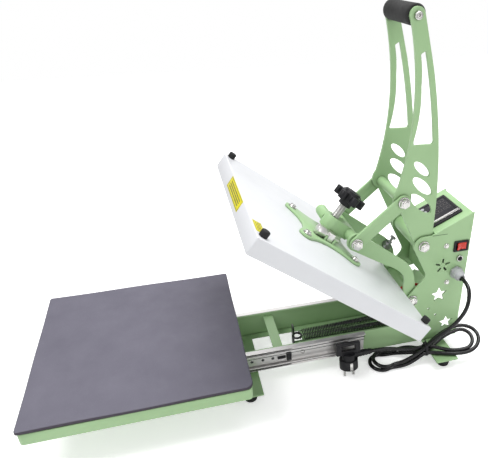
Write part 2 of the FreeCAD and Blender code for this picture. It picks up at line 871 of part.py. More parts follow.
def handle_plate(label, side):
    body = new_body(label)
    offset = "dims.arm_inner" if side > 0 else "-dims.arm_inner"
    sketch = new_sketch(body, "YZ_Plane", offset)
    handle_outline(sketch)
    pad(body, sketch, "dims.bar_plate", reverse=side < 0)
    holes = new_sketch(body, "YZ_Plane", offset)
    draw_circle(holes, *HANDLE_PIVOT, "dims.axle_radius + dims.running_gap")
    draw_circle(holes, *UPPER_LINK, "dims.link_bolt_radius")
    draw_circle(holes, *GRIP, 4.0)
    handle_cutouts(holes)
    pocket(body, holes, "dims.bar_plate", reverse=side > 0)


def handle_tubes():
    half = dim("arm_inner")
    pivot = tube_x("handle_pivot_tube", *HANDLE_PIVOT, dim("tube_radius"), dim("tube_bore"), half)
    upper = tube_x("upper_link_tube", *UPPER_LINK, 9.0, 6.0, half)
    group("handle_cross_tubes", pivot, upper)
    grip = tube_x("grip_tube", *GRIP, 11.0, 8.0, half)
    subpart(grip, "grip_tube")
    foam = tube_x("foam_grip", *GRIP, dim("grip_radius"), 11.0, half - 0.5)
    subpart(foam, "foam_grip")


def handle_bolts():
    """Link bolts at the upper pivot, and the two screws in the ends of the grip tube."""
    inner, thick = dim("arm_inner"), dim("bar_plate")
    link_face = dim("link_inner") + thick
    solids = []
    for side in (-1, 1):
        y, z = UPPER_LINK
        reach = link_face + FLOAT_GAP - inner
        shank = cylinder("upper_shank", (side * inner, y, z), (side, 0, 0), "dims.link_bolt_radius", reach)
        ends = head_and_washer("upper_bolt", side * (link_face + FLOAT_GAP), y, z, side)
        solids.append(fuse("upper_bolt", shank, *ends))
        y, z = GRIP
        screw = cylinder("grip_shank", (side * (inner - 14), y, z), (side, 0, 0), 4.0, 14 + thick)
        head = cylinder("grip_head", (side * (inner + thick), y, z), (side, 0, 0), 6.5, 4.5)
        socket = hexagon("grip_socket", (side * (inner + thick + 1.5), y, z), (side, 0, 0), 5, 4)
        solids.append(cut("grip_screw", fuse("grip_solid", screw, head), socket))
    group("handle_bolts", *solids)


def links():
    """Two straight bars from the handle down to the arms."""
    half_width = 13.0
    run = V(LOWER_LINK[0] - UPPER_LINK[0], LOWER_LINK[1] - UPPER_LINK[1], 0).normalize()
    across = V(-run.y, run.x, 0) * half_width
    top, low = V(*UPPER_LINK, 0), V(*LOWER_LINK, 0)
    bars = []
    for side in (-1, 1):
        sketch = DOC.addObject("Sketcher::SketchObject", "link_outline")
        face = side * (dim("link_inner") + (dim("bar_plate") if side < 0 else 0))
        turn = FreeCAD.Rotation(V(0, 1, 0), V(0, 0, 1), V(1, 0, 0), "XYZ")
        sketch.Placement = FreeCAD.Placement(V(face, 0, 0), turn)
        over, under = top - run * half_width, low + run * half_width
        closed_path(sketch, tuple(top + across)[:2], [
            tuple(low + across)[:2],
            (tuple(under)[:2], tuple(low - across)[:2]),
            tuple(top - across)[:2],
            (tuple(over)[:2], tuple(top + across)[:2]),
        ])
        draw_circle(sketch, *UPPER_LINK, "dims.link_bolt_radius + dims.running_gap")
        draw_circle(sketch, *LOWER_LINK, "dims.link_bolt_radius")
        bar = DOC.addObject("Part::Extrusion", "link_bar")
        bar.Base = sketch
        bar.DirMode = "Custom"
        bar.Dir = V(1, 0, 0)
        bar.Solid = True
        bind(bar, LengthFwd="dims.bar_plate")
        bars.append(bar)
    group("links", *bars)
    bolts = []
    for side in (-1, 1):
        y, z = LOWER_LINK
        inner = dim("link_inner")
        start = (side * inner, y, z)
        shank = cylinder("lower_shank", start, (side, 0, 0), "dims.link_bolt_radius", "dims.bar_plate")
        ends = head_and_washer("lower_bolt", side * (inner + dim("bar_plate")), y, z, side)
        bolts.append(fuse("lower_bolt", shank, *ends))
    group("link_bolts", *bolts)


# ---------------------------------------------------------------- arms


def arm_outline(sketch):
    """From the axle up round the elbow and forward down the slope to the link pivot."""
    ly, lz = LOWER_LINK
    lobe = 17.0
    closed_path(sketch, on_circle(ARM_PIVOT, lobe, 0), [
        (on_circle(ARM_PIVOT, lobe, 270), on_circle(ARM_PIVOT, lobe, 180)),
        (288.5, 173.0),
        ((286.5, 194.0), (279.0, 204.0)),
        ((268.0, 214.0), (250.0, 224.0)),
        on_circle(LOWER_LINK, lobe, 234),
        (on_circle(LOWER_LINK, lobe, 142), on_circle(LOWER_LINK, lobe + 1, 50)),
        (280.5, 233.0),
        ((301.5, 211.5), (311.5, 184.0)),
        ((314.0, 171.0), (314.5, 160.0)),
        on_circle(ARM_PIVOT, lobe, 0),
    ])


def arm_plate(label, side):
    body = new_body(label)
    offset = "dims.arm_inner" if side > 0 else "-dims.arm_inner"
    sketch = new_sketch(body, "YZ_Plane", offset)
    arm_outline(sketch)
    pad(body, sketch, "dims.bar_plate", reverse=side < 0)
    hole = new_sketch(body, "YZ_Plane", offset)
    draw_circle(hole, *ARM_PIVOT, "dims.axle_radius + dims.running_gap")
    pocket(body, hole, "dims.bar_plate", reverse=side > 0)


LEVER_PIN = (300.9, 48.3)


def arm_pivot_tube():
    """Tube round the arm axle with the lever that the return springs pull."""
    y, z = ARM_PIVOT
    half = dim("arm_inner")
    outer = cylinder("arm_tube_outer", (-half, y, z), (1, 0, 0), "dims.tube_radius", 2 * half)
    lever = DOC.addObject("Sketcher::SketchObject", "lever_outline")
    turn = FreeCAD.Rotation(V(0, 1, 0), V(0, 0, 1), V(1, 0, 0), "XYZ")
    lever.Placement = FreeCAD.Placement(V(-3, 0, 0), turn)
    closed_path(lever, (y - 12, z - 6), [
        (LEVER_PIN[0] - 7, LEVER_PIN[1]),
        ((LEVER_PIN[0], LEVER_PIN[1] - 7), (LEVER_PIN[0] + 7, LEVER_PIN[1])),
        (y + 12, z - 6),
        (y - 12, z - 6),
    ])
    plate = DOC.addObject("Part::Extrusion", "lever_plate")
    plate.Base = lever
    plate.DirMode = "Custom"
    plate.Dir = V(1, 0, 0)
    plate.Solid = True
    plate.LengthFwd = 6
    pin = cylinder("lever_pin", (-20, *LEVER_PIN), (1, 0, 0), 3.5, 40)
    solid = fuse("arm_tube_solid", outer, plate, pin)
    bore = cylinder("arm_tube_bore", (-half - 1, y, z), (1, 0, 0), "dims.tube_bore", 2 * half + 2)
    subpart(cut("arm_pivot_tube", solid, bore), "arm_pivot_tube")


PLATEN_MIDDLE = 192.0
LINK_SLOPE = 230.5


def pressure_yoke():
    """Cross tube between the arms, the threaded boss in front of it and its side lug."""
    half = dim("arm_inner")
    radius, low, high = dim("boss_radius"), dim("boss_bottom"), dim("boss_top")
    cross = cylinder("yoke_tube", (-half, *LOWER_LINK), (1, 0, 0), 11.0, 2 * half)
    boss = cylinder("yoke_boss", (0, PLATEN_MIDDLE, low), (0, 0, 1), radius, high - low, TILT)
    web = DOC.addObject("Part::Box", "yoke_web")
    web.Length, web.Width, web.Height = 2 * radius, LINK_SLOPE - PLATEN_MIDDLE, high - low
    web.Placement = TILT.multiply(FreeCAD.Placement(V(-radius, PLATEN_MIDDLE, low), FreeCAD.Rotation()))
    lug_end = (-55, 189, 63)
    lug_radius = 11.5
    lug = cylinder("yoke_lug", lug_end, (1, 0, 0), lug_radius, 39, TILT)
    dome = DOC.addObject("Part::Sphere", "yoke_lug_dome")
    dome.Radius = lug_radius
    dome.Placement = TILT.multiply(FreeCAD.Placement(V(*lug_end), FreeCAD.Rotation()))
    solid = fuse("yoke_solid", cross, boss, web, lug, dome)
    thread = cylinder("yoke_thread", (0, PLATEN_MIDDLE, low - 1), (0, 0, 1),
                      "dims.screw_radius + 0.06", high - low + 2, TILT)
    subpart(cut("pressure_yoke", solid, thread), "pressure_yoke")


def stop_bolt():
    """Opening stop on a lug inside the left arm."""
    lug = cylinder("stop_lug", (-50, 290.0, 212.0), (1, 0, 0), 8.0, 14)
    base = V(-42, 291.0, 214.0)
    axis = TILT.Rotation.multVec(V(0, 0, 1))
    shank = cylinder("stop_shank", tuple(base), tuple(axis), 3.0, 18)
    nut = hexagon("stop_nut", tuple(base + axis * 6), tuple(axis), 10, 4)
    head = hexagon("stop_head", tuple(base + axis * 17), tuple(axis), 11, 5)
    subpart(fuse("stop_bolt", lug, shank, nut, head), "stop_bolt")


# ---------------------------------------------------------------- upper platen


def platen_cover():
    """White sheet box over the heating plate, open below."""
    body = tilt_body("platen_cover")
    side, half = dim("cover_side"), dim("cover_side") / 2
    wall = dim("cover_wall")
    outer = new_sketch(body, "XY_Plane", "0")
    draw_box(outer, -half, 0, half, side, 2.5)
    pad(body, outer, "dims.cover_height")
    inner = new_sketch(body, "XY_Plane", "0")
    draw_box(inner, -half + wall, wall, half - wall, side - wall, 1.5)
    pocket(body, inner, "dims.cover_height - dims.cover_wall", reverse=True)


def heat_stack():
    """Aluminium heating plate, its serpentine element and the insulation above."""
    side, half, gap = dim("cover_side"), dim("cover_side") / 2, dim("cover_wall") + 1.0
    plate = tilt_body("heat_platen")
    sketch = new_sketch(plate, "XY_Plane", "0")
    draw_box(sketch, -half + gap, gap, half - gap, side - gap, 2)
    pad(plate, sketch, "dims.heat_plate_thick")
    element = tilt_body("heating_element")
    passes, pitch, width, reach = 6, 56.0, 9.0, 165.0
    first = side / 2 - pitch * (passes - 1) / 2
    snake = new_sketch(element, "XY_Plane", "dims.heat_plate_thick")
    run = []
    for index in range(passes):
        sign = 1 if index % 2 == 0 else -1
        level = first + pitch * index
        run += [(-sign * reach, level), (sign * reach, level)]
    outline = ribbon(run, width)
    closed_path(snake, outline[0], outline[1:] + outline[:1])
    pad(element, snake, "5")
    wool = tilt_body("insulation")
    block = new_sketch(wool, "XY_Plane", "dims.heat_plate_thick + 5.5")
    draw_box(block, -half + gap, gap, half - gap, side - gap, 2)
    pad(wool, block, "12.5")


def platen_spider():
    """Four-eared plate with hollowed sides, and the two lugs that hold the guide bolt."""
    body = tilt_body("platen_spider")
    sketch = new_sketch(body, "XY_Plane", "dims.cover_height")
    middle, pitch = PLATEN_MIDDLE, dim("spider_pitch")
    start = (-47.0, middle - 68.5)
    steps = []
    for quarter in range(4):
        turn = math.radians(90 * quarter)
        cosine, sine = math.cos(turn), math.sin(turn)

        def place(x, y):
            return (x * cosine - y * sine, middle + x * sine + y * cosine)

        steps.append((place(0, -51.0), place(47.0, -68.5)))
        steps.append((place(pitch + 10.2, -pitch - 10.2), place(68.5, -47.0)))
    closed_path(sketch, start, steps)
    pad(body, sketch, "dims.spider_thick")
    lugs = new_sketch(body, "XY_Plane", "dims.cover_height + dims.spider_thick")
    low, high = dim("guide_half") - 6.5, dim("guide_half") + 8.5
    for near in LUG_NEAR:
        draw_box(lugs, low, near, high, near + LUG_THICK)
    pad(body, lugs, "dims.guide_height - dims.cover_height - dims.spider_thick")
    bore_along_slope(body)


LUG_NEAR = (179.6, 199.7)
LUG_THICK = 4.8


def bore_along_slope(body):
    """The guide bolt's hole, through whatever of the body it meets."""
    bore = new_sketch(body, "XZ_Plane", "-240")
    draw_circle(bore, dim("guide_half"), dim("guide_height"), "dims.guide_radius")
    pocket(body, bore, "70", reverse=True)


def guide_bolt():
    """Long bolt along the slope, through the lugs and the thrust block between them."""
    x, height = dim("guide_half"), dim("guide_height")
    shank = cylinder("guide_shank", (x, 158, height), (0, 1, 0), "dims.guide_radius", 53, TILT)
    nut = hexagon("guide_nut", (x, 160, height), (0, 1, 0), 19, 15, TILT)
    ring = cylinder("guide_washer", (x, 175.5, height), (0, 1, 0), 8.5, 3.5, TILT)
    subpart(fuse("guide_bolt", shank, nut, ring), "guide_bolt")


def thrust_block():
    """Block on the guide bolt with the socket for the pressure screw's tip."""
    body = tilt_body("thrust_block")
    under, half_width, end = "38", 7.0, dim("guide_half") + 8
    for start, thick in ((0, "8.4"), (21, "16.4")):
        sketch = new_sketch(body, "XY_Plane", under)
        draw_box(sketch, start, PLATEN_MIDDLE - half_width, end, PLATEN_MIDDLE + half_width, 2)
        pad(body, sketch, thick)
    disc = new_sketch(body, "XY_Plane", under)
    draw_circle(disc, 0, PLATEN_MIDDLE, 12.5)
    pad(body, disc, "8.4")
    bore_along_slope(body)
    socket = new_sketch(body, "XY_Plane", "41")
    draw_circle(socket, 0, PLATEN_MIDDLE, "dims.screw_radius + 0.06")
    pocket(body, socket, "10", reverse=True)


def spider_screws():
    screws = []
    top = dim("cover_height") + dim("spider_thick")
    pitch = dim("spider_pitch")
    for x in (-pitch, pitch):
        for y in (PLATEN_MIDDLE - pitch, PLATEN_MIDDLE + pitch):
            washer = cylinder("spider_washer", (x, y, top), (0, 0, 1), 9.0, 1.6, TILT)
            head = cylinder("spider_head", (x, y, top + 1.6), (0, 0, 1), 6.0, 4.0, TILT)
            socket = hexagon("spider_socket", (x, y, top + 3.0), (0, 0, 1), 6, 4, TILT)
            screws.append(cut("spider_screw", fuse("spider_solid", washer, head), socket))
    group("spider_screws", *screws)


def corner_caps():
    caps = []
    top = dim("cover_height")
    for x in (-178, 178):
        for y in (12, dim("cover_side") - 12):
            caps.append(cylinder("corner_cap", (x, y, top), (0, 0, 1), 7.5, 11, TILT))
    group("corner_caps", *caps)


# ---------------------------------------------------------------- pressure screw


HUB_UNDER = 106.0


def threaded_rod():
    start = (0, PLATEN_MIDDLE, 41.3)
    rod = cylinder("threaded_rod", start, (0, 0, 1), "dims.screw_radius", HUB_UNDER + 5 - start[2], TILT)
    subpart(rod, "threaded_rod")


def star_knob():
    """Six-lobed knob on a round hub."""
    body = tilt_body("star_knob")
    lobes, reach, lobe_radius, waist = 6, 24.0, 8.0, 22.0
    sketch = new_sketch(body, "XY_Plane", "116")
    steps = []
    start = None
    for index in range(lobes):
        angle = 360 / lobes * index
        centre = on_circle((0, PLATEN_MIDDLE), reach, angle)
        first = on_circle(centre, lobe_radius, angle - 78)
        top = on_circle(centre, lobe_radius, angle)
        last = on_circle(centre, lobe_radius, angle + 78)
        start = start or first
        following = angle + 360 / lobes
        after = on_circle((0, PLATEN_MIDDLE), reach, following)
        steps.append((top, last))
        steps.append((on_circle((0, PLATEN_MIDDLE), waist - 3, angle + 180 / lobes),
                      on_circle(after, lobe_radius, following - 78)))
    closed_path(sketch, start, steps)
    pad(body, sketch, "16")
    cap = new_sketch(body, "XY_Plane", "132")
    draw_circle(cap, 0, PLATEN_MIDDLE, 17.0)
    pad(body, cap, "5")
    hub = new_sketch(body, "XY_Plane", "%g" % HUB_UNDER)
    draw_circle(hub, 0, PLATEN_MIDDLE, 13.0)
    pad(body, hub, "12")
    bore = new_sketch(body, "XY_Plane", "%g" % HUB_UNDER)
    draw_circle(bore, 0, PLATEN_MIDDLE, "dims.screw_radius")
    pocket(body, bore, "5", reverse=True)


# ---------------------------------------------------------------- mains lead

CORD_ROUTE = [
    (86, 401, 188),
    (109, 401, 188),
    (127, 397, 174),
    (134, 391, 149),
    (130, 382, 123),
    (121, 369, 95),
    (111, 350, 69),
    (101, 338, 46),
]


def cord_tube():
    tube_along("cord_tube", CORD_ROUTE, dim("cord_diameter") / 2)


def teardrop(sketch, tip, centre, radius, hole):
    """A loop of the hank: a round end that narrows to the tie, with its open middle."""
    x0, y0 = centre
    away = 1 if y0 > tip[1] else -1
    neck = 11.0
    lean = math.degrees(math.asin(max(-1, min(1, (radius - neck) / abs(y0 - tip[1])))))
    left = on_circle(centre, radius, 180 + away * lean)
    right = on_circle(centre, radius, -away * lean)
    closed_path(sketch, (tip[0] - neck, tip[1]), [
        (tip[0] + neck, tip[1]),
        right,
        ((x0, y0 + away * radius), left),
        (tip[0] - neck, tip[1]),
    ])
    if hole:
        point = (x0 + (tip[0] - x0) * 0.45, y0 - away * radius * 1.05)
        side = radius - 17
        closed_path(sketch, (point[0] - 2, point[1]), [
            (point[0] + 2, point[1]),
            (x0 + side, y0),
            ((x0, y0 + away * side), (x0 - side, y0)),
            (point[0] - 2, point[1]),
        ])


def hank_plane(across, along):
    """The frame of the rear loops' underside, which leans up against the right side plate."""
    rise = V(0, 1, along)
    run = V(1, 0, across)
    up = run.cross(rise).normalize()
    waist = V(97, 331, 31.4)
    return FreeCAD.Placement(waist - up * 4.2, FreeCAD.Rotation(run, rise, up, "ZXY"))


def cord_hank():
    """The tied hank: loops lying forward on the floor, and loops back over the foot plate."""
    body = new_body("cord_hank")
    forward = FreeCAD.Placement(V(0, 341.5, 23.3), FreeCAD.Rotation(V(1, 0, 0), 10.2))
    front = new_sketch(body, "XY_Plane", tilt=forward)
    teardrop(front, (97, 12), (86, -99), 26.0, True)
    pad(body, front, "14")
    rear = new_sketch(body, "XY_Plane", tilt=hank_plane(-0.336, 0.1244))
    teardrop(rear, (0, 9), (0.5, 94), 35.5, True)
    pad(body, rear, "8.4")


def cable_tie():
    """Black band round the waist of the hank, snug against it."""
    turn = FreeCAD.Rotation(V(1, 0, 0), 10.2)
    place = FreeCAD.Placement(V(0, 341.5, 23.3), turn)
    outer = DOC.addObject("Part::Box", "tie_outer")
    outer.Length, outer.Width, outer.Height = 28, 6, 18
    outer.Placement = place.multiply(FreeCAD.Placement(V(82.5, -11, -2), FreeCAD.Rotation()))
    inner = DOC.addObject("Part::Box", "tie_inner")
    inner.Length, inner.Width, inner.Height = 25, 8, 14.6
    inner.Placement = place.multiply(FreeCAD.Placement(V(84.0, -12, -0.3), FreeCAD.Rotation()))
    subpart(cut("cable_tie", outer, inner), "cable_tie")


PLUG_LEAN = -12.0
PLUG = FreeCAD.Placement(V(94.2, 163.5, 19.4), FreeCAD.Rotation(V(0, 1, 0), PLUG_LEAN))
RELIEF_HEIGHT = 27.0
RELIEF_END = 50.0


def plug_box(name, x, y, z):
    """A box in the plug's frame, between bounds given as pairs."""
    obj = DOC.addObject("Part::Box", name)
    obj.Length, obj.Width, obj.Height = x[1] - x[0], y[1] - y[0], z[1] - z[0]
    obj.Placement = PLUG.multiply(FreeCAD.Placement(V(x[0], y[0], z[0]), FreeCAD.Rotation()))
    return obj


def plug():
    """Round two-pin plug on its pins, leaning on the slide, with a pull loop and a strain relief."""
    up, back = (0, 0, 1), (0, 1, 0)
    face = cylinder("plug_face", (0, 0, 0), up, 19.0, 20, PLUG)
    neck = cylinder("plug_neck", (3, 0, 19), up, 13.0, 13, PLUG)
    loop = plug_box("plug_loop", (-4, 4), (-25, 25), (30, 54))
    window = plug_box("plug_window", (-6, 6), (-15, 15), (38, 49))
    relief = DOC.addObject("Part::Cone", "plug_relief")
    root = 12.0
    bind(relief, Radius1="7.5", Radius2="5.2", Height="%g" % (RELIEF_END - root))
    relief.Placement = PLUG.multiply(
        FreeCAD.Placement(V(0, root, RELIEF_HEIGHT), FreeCAD.Rotation(V(0, 0, 1), V(*back))))
    solid = fuse("plug_solid", face, neck, loop, relief)
    subpart(cut("plug_body", solid, window), "plug_body")
    contacts = []
    for side in (-1, 1):
        contacts.append(cylinder("plug_pin", (0, side * 9.5, -19), up, 2.4, 19, PLUG))
        middle = side * 19.6
        contacts.append(plug_box("plug_earth_clip", (middle - 0.6, middle + 0.6), (-3, 3), (2, 18)))
    group("plug_contacts", *contacts)


def cord_tail():
    """The lead from the plug's strain relief back to the waist of the hank."""
    begin = PLUG.multVec(V(0, RELIEF_END, RELIEF_HEIGHT))
    route = [tuple(begin)] + CORD_TAIL_ROUTE
    tube_along("cord_tail", route, dim("cord_diameter") / 2)


CORD_TAIL_ROUTE = [
    (88.8, 234, 45.5),
    (90.5, 256, 43),
    (93.5, 279, 38.5),
    (95, 301, 34.8),
    (94.5, 322, 32.5),
]


# ---------------------------------------------------------------- build, check, write


def build():
    side_plate("side_plate_right", 1)
    side_plate("side_plate_left", -1)
    for make in (base_bottom_plate, base_cross_strip, rear_cover, front_cover, control_panel,
                 display, controller_board, relay_block, power_switch, breaker, cable_gland,
                 housing_screws, feet, pivot_axles, springs, heater_cable, slides, lower_tray,
                 silicone_pad, drawer_brackets):
        make()
    handle_plate("handle_right", 1)
    handle_plate("handle_left", -1)
    for make in (handle_tubes, handle_bolts, links):
        make()
    arm_plate("arm_right", 1)
    arm_plate("arm_left", -1)
    for make in (arm_pivot_tube, pressure_yoke, stop_bolt, platen_cover, heat_stack,
                 platen_spider, guide_bolt, thrust_block, spider_screws, corner_caps,
                 threaded_rod, star_knob, cord_tube, cord_hank, cable_tie, plug, cord_tail):
        make()
    DOC.recompute()


def check():
    """Stop if any object failed or any piece is empty or broken."""
    for obj in DOC.Objects:
        if "Invalid" in obj.State or "Error" in obj.State:
            raise RuntimeError("%s failed: %s" % (obj.Label, obj.State))
    for obj in SUBPARTS:
        if obj.Shape.isNull() or not obj.Shape.isValid() or not obj.Shape.Solids:
            raise RuntimeError("%s has no valid shape" % obj.Label)


def write():
    os.makedirs("parts", exist_ok=True)
    for obj in SUBPARTS:
        obj.Shape.exportStep("parts/%s.step" % obj.Label)


build()
check()
write()
print(len(SUBPARTS), "pieces written")
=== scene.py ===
"""Looks of a slide-out clamshell heat press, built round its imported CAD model.

Everything is in metres in the model's frame: X to the operator's right, Y to the rear, Z up.
"""

import json
import math

import bmesh
import bpy
from mathutils import Matrix, Vector


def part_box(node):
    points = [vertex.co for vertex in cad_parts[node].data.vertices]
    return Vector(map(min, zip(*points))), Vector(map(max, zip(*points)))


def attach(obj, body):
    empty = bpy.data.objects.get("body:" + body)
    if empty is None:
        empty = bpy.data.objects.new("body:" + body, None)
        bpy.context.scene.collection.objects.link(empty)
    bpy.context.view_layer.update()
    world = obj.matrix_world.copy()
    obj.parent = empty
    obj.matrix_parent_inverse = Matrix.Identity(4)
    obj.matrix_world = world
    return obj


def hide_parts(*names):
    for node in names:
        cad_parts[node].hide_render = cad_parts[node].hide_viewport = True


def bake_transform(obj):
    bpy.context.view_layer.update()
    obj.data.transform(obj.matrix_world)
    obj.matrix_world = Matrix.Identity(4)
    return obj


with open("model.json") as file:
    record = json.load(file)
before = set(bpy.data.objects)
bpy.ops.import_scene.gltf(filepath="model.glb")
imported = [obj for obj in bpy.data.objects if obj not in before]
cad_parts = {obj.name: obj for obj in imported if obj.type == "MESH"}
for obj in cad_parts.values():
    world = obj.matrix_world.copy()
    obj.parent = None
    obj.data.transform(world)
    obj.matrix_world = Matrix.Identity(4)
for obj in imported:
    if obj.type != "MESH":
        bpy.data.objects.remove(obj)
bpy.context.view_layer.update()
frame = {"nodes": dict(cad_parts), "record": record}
NODES = frame["nodes"]
MM = 0.001

# ---------------------------------------------------------------- camera, floor and light

AZIMUTH, ELEVATION, ROLL = 74.61, 29.38, -0.21
CAMERA_PLACE = (0.861, -0.1205, 0.761)
LENS, SENSOR = 38.64, 36.0
SHIFT = (-0.1436, 0.0361)
ROOM_LIGHT = 0.54
KEY_POWER, FILL_POWER, TOP_POWER, LEFT_POWER = 22, 10.5, 50, 7


def make_camera():
    a, e = math.radians(AZIMUTH), math.radians(ELEVATION)
    back = Vector((math.sin(a) * math.cos(e), -math.cos(a) * math.cos(e), math.sin(e)))
    data = bpy.data.cameras.new("camera")
    data.sensor_width = SENSOR
    data.lens = LENS
    data.shift_x, data.shift_y = SHIFT
    data.clip_start, data.clip_end = 0.02, 50
    camera = bpy.data.objects.new("camera", data)
    camera.rotation_mode = "QUATERNION"
    turn = Matrix.Rotation(math.radians(ROLL), 3, "Z").to_quaternion()
    camera.rotation_quaternion = (-back).to_track_quat("-Z", "Y") @ turn
    camera.location = CAMERA_PLACE
    bpy.context.scene.collection.objects.link(camera)
    bpy.context.scene.camera = camera


def area_light(name, place, aim, size, power):
    data = bpy.data.lights.new(name, "AREA")
    data.shape = "DISK"
    data.size = size
    data.energy = power
    light = bpy.data.objects.new(name, data)
    light.location = place
    light.rotation_mode = "QUATERNION"
    light.rotation_quaternion = (Vector(aim) - Vector(place)).to_track_quat("-Z", "Y")
    bpy.context.scene.collection.objects.link(light)


def make_light():
    """An even white room; the camera sees it as plain white paper."""
    world = bpy.data.worlds.new("studio")
    world.use_nodes = True
    tree = world.node_tree
    room = tree.nodes["Background"]
    room.inputs["Strength"].default_value = ROOM_LIGHT
    paper = tree.nodes.new("ShaderNodeBackground")
    for background in (room, paper):
        background.inputs["Color"].default_value = (1, 1, 1, 1)
    seen = tree.nodes.new("ShaderNodeLightPath")
    pick = tree.nodes.new("ShaderNodeMixShader")
    tree.links.new(seen.outputs["Is Camera Ray"], pick.inputs["Fac"])
    tree.links.new(room.outputs["Background"], pick.inputs[1])
    tree.links.new(paper.outputs["Background"], pick.inputs[2])
    tree.links.new(pick.outputs["Shader"], tree.nodes["World Output"].inputs["Surface"])
    bpy.context.scene.world = world
    bpy.context.scene.view_settings.view_transform = "Standard"
    area_light("key", (0.3, -1.5, 2.3), (0, 0, 0.2), 1.0, KEY_POWER)
    area_light("fill", (2.2, 0.9, 1.3), (0, 0.1, 0.2), 1.6, FILL_POWER)
    area_light("top", (-0.2, 0.7, 2.5), (0, 0, 0.2), 1.6, TOP_POWER)
    area_light("left", (-2.4, 0.2, 1.3), (0, 0.1, 0.2), 1.6, LEFT_POWER)


# ---------------------------------------------------------------- node helpers


class Shader:
    """A material's node tree, with the object's own coordinates in metres ready to use."""

    def __init__(self, name):
        self.material = bpy.data.materials.new(name)
        self.material.use_nodes = True
        self.tree = self.material.node_tree
        self.bsdf = self.tree.nodes["Principled BSDF"]
        self.place = self.node("ShaderNodeTexCoord").outputs["Object"]

    def node(self, kind, **settings):
        made = self.tree.nodes.new(kind)
        for key, value in settings.items():
            setattr(made, key, value)
        return made

    def link(self, source, target):
        self.tree.links.new(source, target)

    def set(self, **values):
        """Uniform values, set on the shader's own sockets."""
        for key, value in values.items():
            self.bsdf.inputs[key.replace("_", " ")].default_value = value

    def noise(self, scale, detail=3.0, rough=0.5, stretch=None):
        texture = self.node("ShaderNodeTexNoise")
        texture.inputs["Scale"].default_value = scale
        texture.inputs["Detail"].default_value = detail
        texture.inputs["Roughness"].default_value = rough
        self.link(self.stretched(stretch), texture.inputs["Vector"])
        return texture.outputs["Fac"]

    def stretched(self, stretch):
        if stretch is None:
            return self.place
        mapping = self.node("ShaderNodeMapping")
        mapping.inputs["Scale"].default_value = stretch
        self.link(self.place, mapping.inputs["Vector"])
        return mapping.outputs["Vector"]

    def ramp(self, source, low, high, low_value, high_value):
        """Maps a value between two limits onto two others."""
        node = self.node("ShaderNodeMapRange")
        self.link(source, node.inputs["Value"])
        limits = {"From Min": low, "From Max": high, "To Min": low_value, "To Max": high_value}
        for key, value in limits.items():
            node.inputs[key].default_value = value
        return node.outputs["Result"]

    def mix(self, factor, first, second):
        """A colour between two, each a colour or a socket."""
        node = self.node("ShaderNodeMix", data_type="RGBA")
        self.link(factor, node.inputs["Factor"])
        for key, value in ((6, first), (7, second)):
            if isinstance(value, tuple):
                node.inputs[key].default_value = (*value, 1)
            else:
                self.link(value, node.inputs[key])
        return node.outputs[2]

    def painted_crevice_shade(self, clean, painted_shade, reach):
        """The clean colour, going over to a painted shade colour in corners and recesses narrower than the
        reach, as ambient occlusion finds them.
        """
        shade = self.node("ShaderNodeAmbientOcclusion", samples=6)
        shade.inputs["Distance"].default_value = reach
        return self.mix(self.ramp(shade.outputs["AO"], 0.25, 0.80, 0, 1), painted_shade, clean)

    def colour(self, source):
        if isinstance(source, tuple):
            self.bsdf.inputs["Base Color"].default_value = (*source, 1)
        else:
            self.link(source, self.bsdf.inputs["Base Color"])

    def rough(self, source):
        self.link(source, self.bsdf.inputs["Roughness"])

    def bump(self, source, depth, strength=1.0, under=None):
        """Bump from a height; depth is the height in metres for a value of one."""
        node = self.node("ShaderNodeBump")
        node.inputs["Distance"].default_value = depth
        node.inputs["Strength"].default_value = strength
        self.link(source, node.inputs["Height"])
        if under is not None:
            self.link(under, node.inputs["Normal"])
        self.link(node.outputs["Normal"], self.bsdf.inputs["Normal"])

    def softened(self, radius):
        """The normal rounded over sharp edges."""
        bevel = self.node("ShaderNodeBevel", samples=4)
        bevel.inputs["Radius"].default_value = radius
        return bevel.outputs["Normal"]

    def edges(self, normal):
        """A mask that is one where the rounded normal leaves the true one."""
        geometry = self.node("ShaderNodeNewGeometry")
        dot = self.node("ShaderNodeVectorMath", operation="DOT_PRODUCT")
        self.link(normal, dot.inputs[0])
        self.link(geometry.outputs["Normal"], dot.inputs[1])
        return self.ramp(dot.outputs["Value"], 0.97, 0.80, 0.0, 1.0)


# ---------------------------------------------------------------- materials

MINT = (0.340, 0.525, 0.272)
MINT_DEEP = (0.310, 0.488, 0.245)
MINT_LIGHT = (0.56, 0.74, 0.50)
MINT_PAINTED_SHADE = (0.085, 0.150, 0.062)


def mint_paint():
    """Powder coat: fine orange peel, slight tone changes, paler thin paint on the edges, and painted shade in
    corners and recesses.
    """
    s = Shader("mint_powder_coat")
    tone = s.ramp(s.noise(9, 4), 0.35, 0.65, 0, 1)
    base = s.mix(tone, MINT, MINT_DEEP)
    normal = s.softened(0.0012)
    edge = s.edges(normal)
    thin = s.ramp(s.noise(60, 4), 0.35, 0.6, 0.15, 0.7)
    worn = s.node("ShaderNodeMath", operation="MULTIPLY")
    s.link(edge, worn.inputs[0])
    s.link(thin, worn.inputs[1])
    # Ambient occlusion paints a dark green shade into corners, recesses and the gaps between parts.
    s.colour(s.painted_crevice_shade(s.mix(worn.outputs[0], base, MINT_LIGHT), MINT_PAINTED_SHADE, 0.007))
    s.rough(s.ramp(s.noise(25, 3), 0.3, 0.7, 0.34, 0.46))
    s.set(Specular_IOR_Level=0.5, Coat_Weight=0.15, Coat_Roughness=0.25)
    s.bump(s.noise(900, 2), 0.00006, 0.5, normal)
    return s.material


def white_paint():
    """Baked white enamel on thin sheet, very slightly uneven."""
    s = Shader("white_enamel")
    tone = s.ramp(s.noise(6, 4), 0.3, 0.7, 0, 1)
    s.colour(s.mix(tone, (0.70, 0.71, 0.735), (0.665, 0.675, 0.70)))
    normal = s.softened(0.0015)
    s.rough(s.ramp(s.noise(30, 3), 0.3, 0.7, 0.30, 0.42))
    s.bump(s.noise(700, 2), 0.00004, 0.4, normal)
    return s.material


